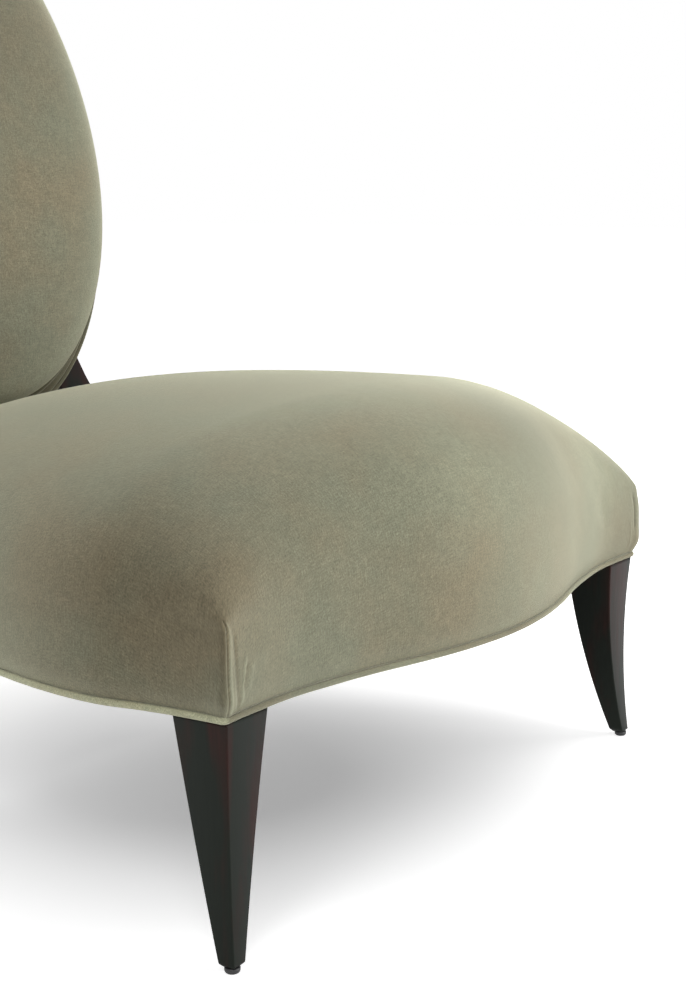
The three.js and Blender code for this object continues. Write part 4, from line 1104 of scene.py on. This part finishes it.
for row in frame["record"]["subparts"]:
    cad_node = frame["nodes"][row["node"]]
    cad_node.data.materials.clear()
    cad_node.data.materials.append(materials[row["material_slot"]])


def dress(made, slot, *nodes):
    """Gives a piece its material, its body and its slot, and hides the CAD nodes that it stands for."""
    made.data.materials.clear()
    made.data.materials.append(materials[slot])
    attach(made, "root")
    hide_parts(*nodes)
    return made


dress(seat_velvet(), "velvet", "seat_cover")
dress(seat_piping(), "velvet", "seat_welt")
dress(seat_piping_rear(), "velvet", "seat_welt_rear")
cloth_below, flat_size, flat_area = under_cloth()
dress(cloth_below, "dust_cloth", "dust_cover")
pad = back_pad()
thicken(pad, COVER_THICKNESS)
dress(pad, "velvet", "back_cover")
seam_piping = back_piping("back_seam_piping", SEAM_WELT_GROWTH, SEAM_WELT_DEPTH, SEAM_WELT_RADIUS)
dress(seam_piping, "velvet", "back_seam_welt")
rim_radius = WELT_DIAMETER / 2
rim_piping = back_piping("back_rim_piping", RIM_GROWTH + rim_radius + JOINT_GAP, RIM_WELT_DEPTH, rim_radius)
dress(rim_piping, "velvet", "back_rim_welt")
dress(back_band(), "velvet", "back_band")
panel = rear_panel()
thicken(panel, COVER_THICKNESS)
dress(panel, "velvet", "outside_back")
for side in ("left", "right"):
    leg = wooden_member(f"leg_front_{side}", f"front_leg_{side}", LEG_STATIONS, LEG_RINGS, LEG_EDGE)
    dress(leg, "dark_wood", f"front_leg_{side}")
    post = wooden_member(f"post_{side}", f"back_post_{side}", POST_STATIONS, POST_RINGS, POST_EDGE)
    dress(post, "dark_wood", f"back_post_{side}")
    for end in ("front", "rear"):
        dress(glide(f"foot_glide_{end}_{side}", f"glide_{end}_{side}"), "nylon", f"glide_{end}_{side}")


# Camera, floor and light

# The photograph's camera: its place in the chair's own frame, its turn from +Y towards +X and its tilt down,
# in degrees, and its focal length in the photograph's pixels
CAMERA_PLACE = (-1386.0, -1085.3, 598.6)
CAMERA_TURN = 56.78
CAMERA_TILT = 9.91
FOCAL_PIXELS = 1740.1
PHOTO_HEIGHT = 1000
SENSOR = 36
CLIP_START = 50

camera = add_object("camera", bpy.data.cameras.new("camera"))
camera.location = (np.array(CAMERA_PLACE) + (0, chair_shift, 0)) * MM
camera.rotation_euler = (math.radians(90 - CAMERA_TILT), 0, -math.radians(CAMERA_TURN))
camera.data.sensor_width = SENSOR
camera.data.lens = FOCAL_PIXELS / PHOTO_HEIGHT * SENSOR
camera.data.clip_start = CLIP_START * MM
bpy.context.scene.camera = camera


def seen_directly(tree):
    """1 for camera, mirror and glass rays, and 0 for the rays that light the object."""
    path = add_node(tree, "ShaderNodeLightPath").outputs
    either = combine(tree, "MAXIMUM", path["Is Camera Ray"], path["Is Glossy Ray"])
    return combine(tree, "MAXIMUM", either, path["Is Transmission Ray"])


# The floor and the lamps are in metres. The floor's half side and how much light it returns; the middle of its
# painted shadow, a dimmer glow round the chair, and the glow's level there, and the distances at which the glow
# starts to rise and is white; the world's light
FLOOR_HALF = 30
FLOOR_ALBEDO = 0.8
PAINTED_SHADOW_MIDDLE = (0, -0.04, 0)
FLOOR_GLOW_IN_PAINTED_SHADOW = 0.23
FLOOR_WHITE_FROM = 0.15
FLOOR_WHITE_AT = 0.75
WORLD_LIGHT = 0.02
# Each lamp: its place, its side and its power in watts; all shine at one point
LAMPS = [
    ("front", (0.6, -3.0, 0.6), 1.15, 47),
    ("top", (0.3, -0.6, 3.2), 1.6, 21),
    ("right_top", (1.3, -1.5, 2.6), 1.6, 19),
    ("right_rear", (2.5, 1.4, 1.5), 1.6, 15),
    ("rear", (0, 2.6, 1.9), 1.6, 44),
    ("left", (-2.3, -1.2, 1.9), 1.6, 44),
]
LAMP_TARGET = (0, 0, 0.35)


def white_floor():
    """A pale floor that keeps the chair's cast shadow, adds a painted shadow as a dimmer glow round the chair,
    and runs out to plain white.
    """
    mesh = bpy.data.meshes.new("floor")
    half = FLOOR_HALF
    corners = [(-half, -half, 0), (half, -half, 0), (half, half, 0), (-half, half, 0)]
    mesh.from_pydata(corners, [], [(0, 1, 2, 3)])
    material = bpy.data.materials.new("floor")
    tree = empty_tree(material)
    matt = add_node(tree, "ShaderNodeBsdfDiffuse", {"Color": (FLOOR_ALBEDO, FLOOR_ALBEDO, FLOOR_ALBEDO, 1)})
    ends = {0: object_place(tree), 1: PAINTED_SHADOW_MIDDLE}
    reach = add_node(tree, "ShaderNodeVectorMath", ends, operation="DISTANCE")
    # Painted shadow: the glow is dimmest round the middle under the chair and rises to white further out
    level = ramp(tree, reach.outputs["Value"], FLOOR_WHITE_FROM, FLOOR_WHITE_AT, FLOOR_GLOW_IN_PAINTED_SHADOW, 1)
    strength = combine(tree, "MULTIPLY", seen_directly(tree), level)
    glow = add_node(tree, "ShaderNodeEmission", {"Strength": strength})
    both = add_node(tree, "ShaderNodeAddShader", {0: matt.outputs[0], 1: glow.outputs[0]})
    add_node(tree, "ShaderNodeOutputMaterial", {"Surface": both.outputs[0]})
    mesh.materials.append(material)
    return add_object("floor", mesh)


def studio_world():
    """Even light from all round, which is seen as white."""
    world = bpy.data.worlds.new("studio")
    bpy.context.scene.world = world
    tree = empty_tree(world)
    level = ramp(tree, seen_directly(tree), 0, 1, WORLD_LIGHT, 1)
    background = add_node(tree, "ShaderNodeBackground", {"Color": (1, 1, 1, 1), "Strength": level})
    add_node(tree, "ShaderNodeOutputWorld", {"Surface": background.outputs[0]})


def area_light(name, place, size, power):
    """A soft square lamp that shines at the chair."""
    lamp = bpy.data.lights.new(name, "AREA")
    lamp.size = size
    lamp.energy = power
    made = add_object(name, lamp)
    made.location = place
    made.rotation_euler = (Vector(LAMP_TARGET) - Vector(place)).to_track_quat("-Z", "Y").to_euler()


white_floor()
studio_world()
for lamp_settings in LAMPS:
    area_light(*lamp_settings)

bpy.context.scene.view_settings.view_transform = "Standard"
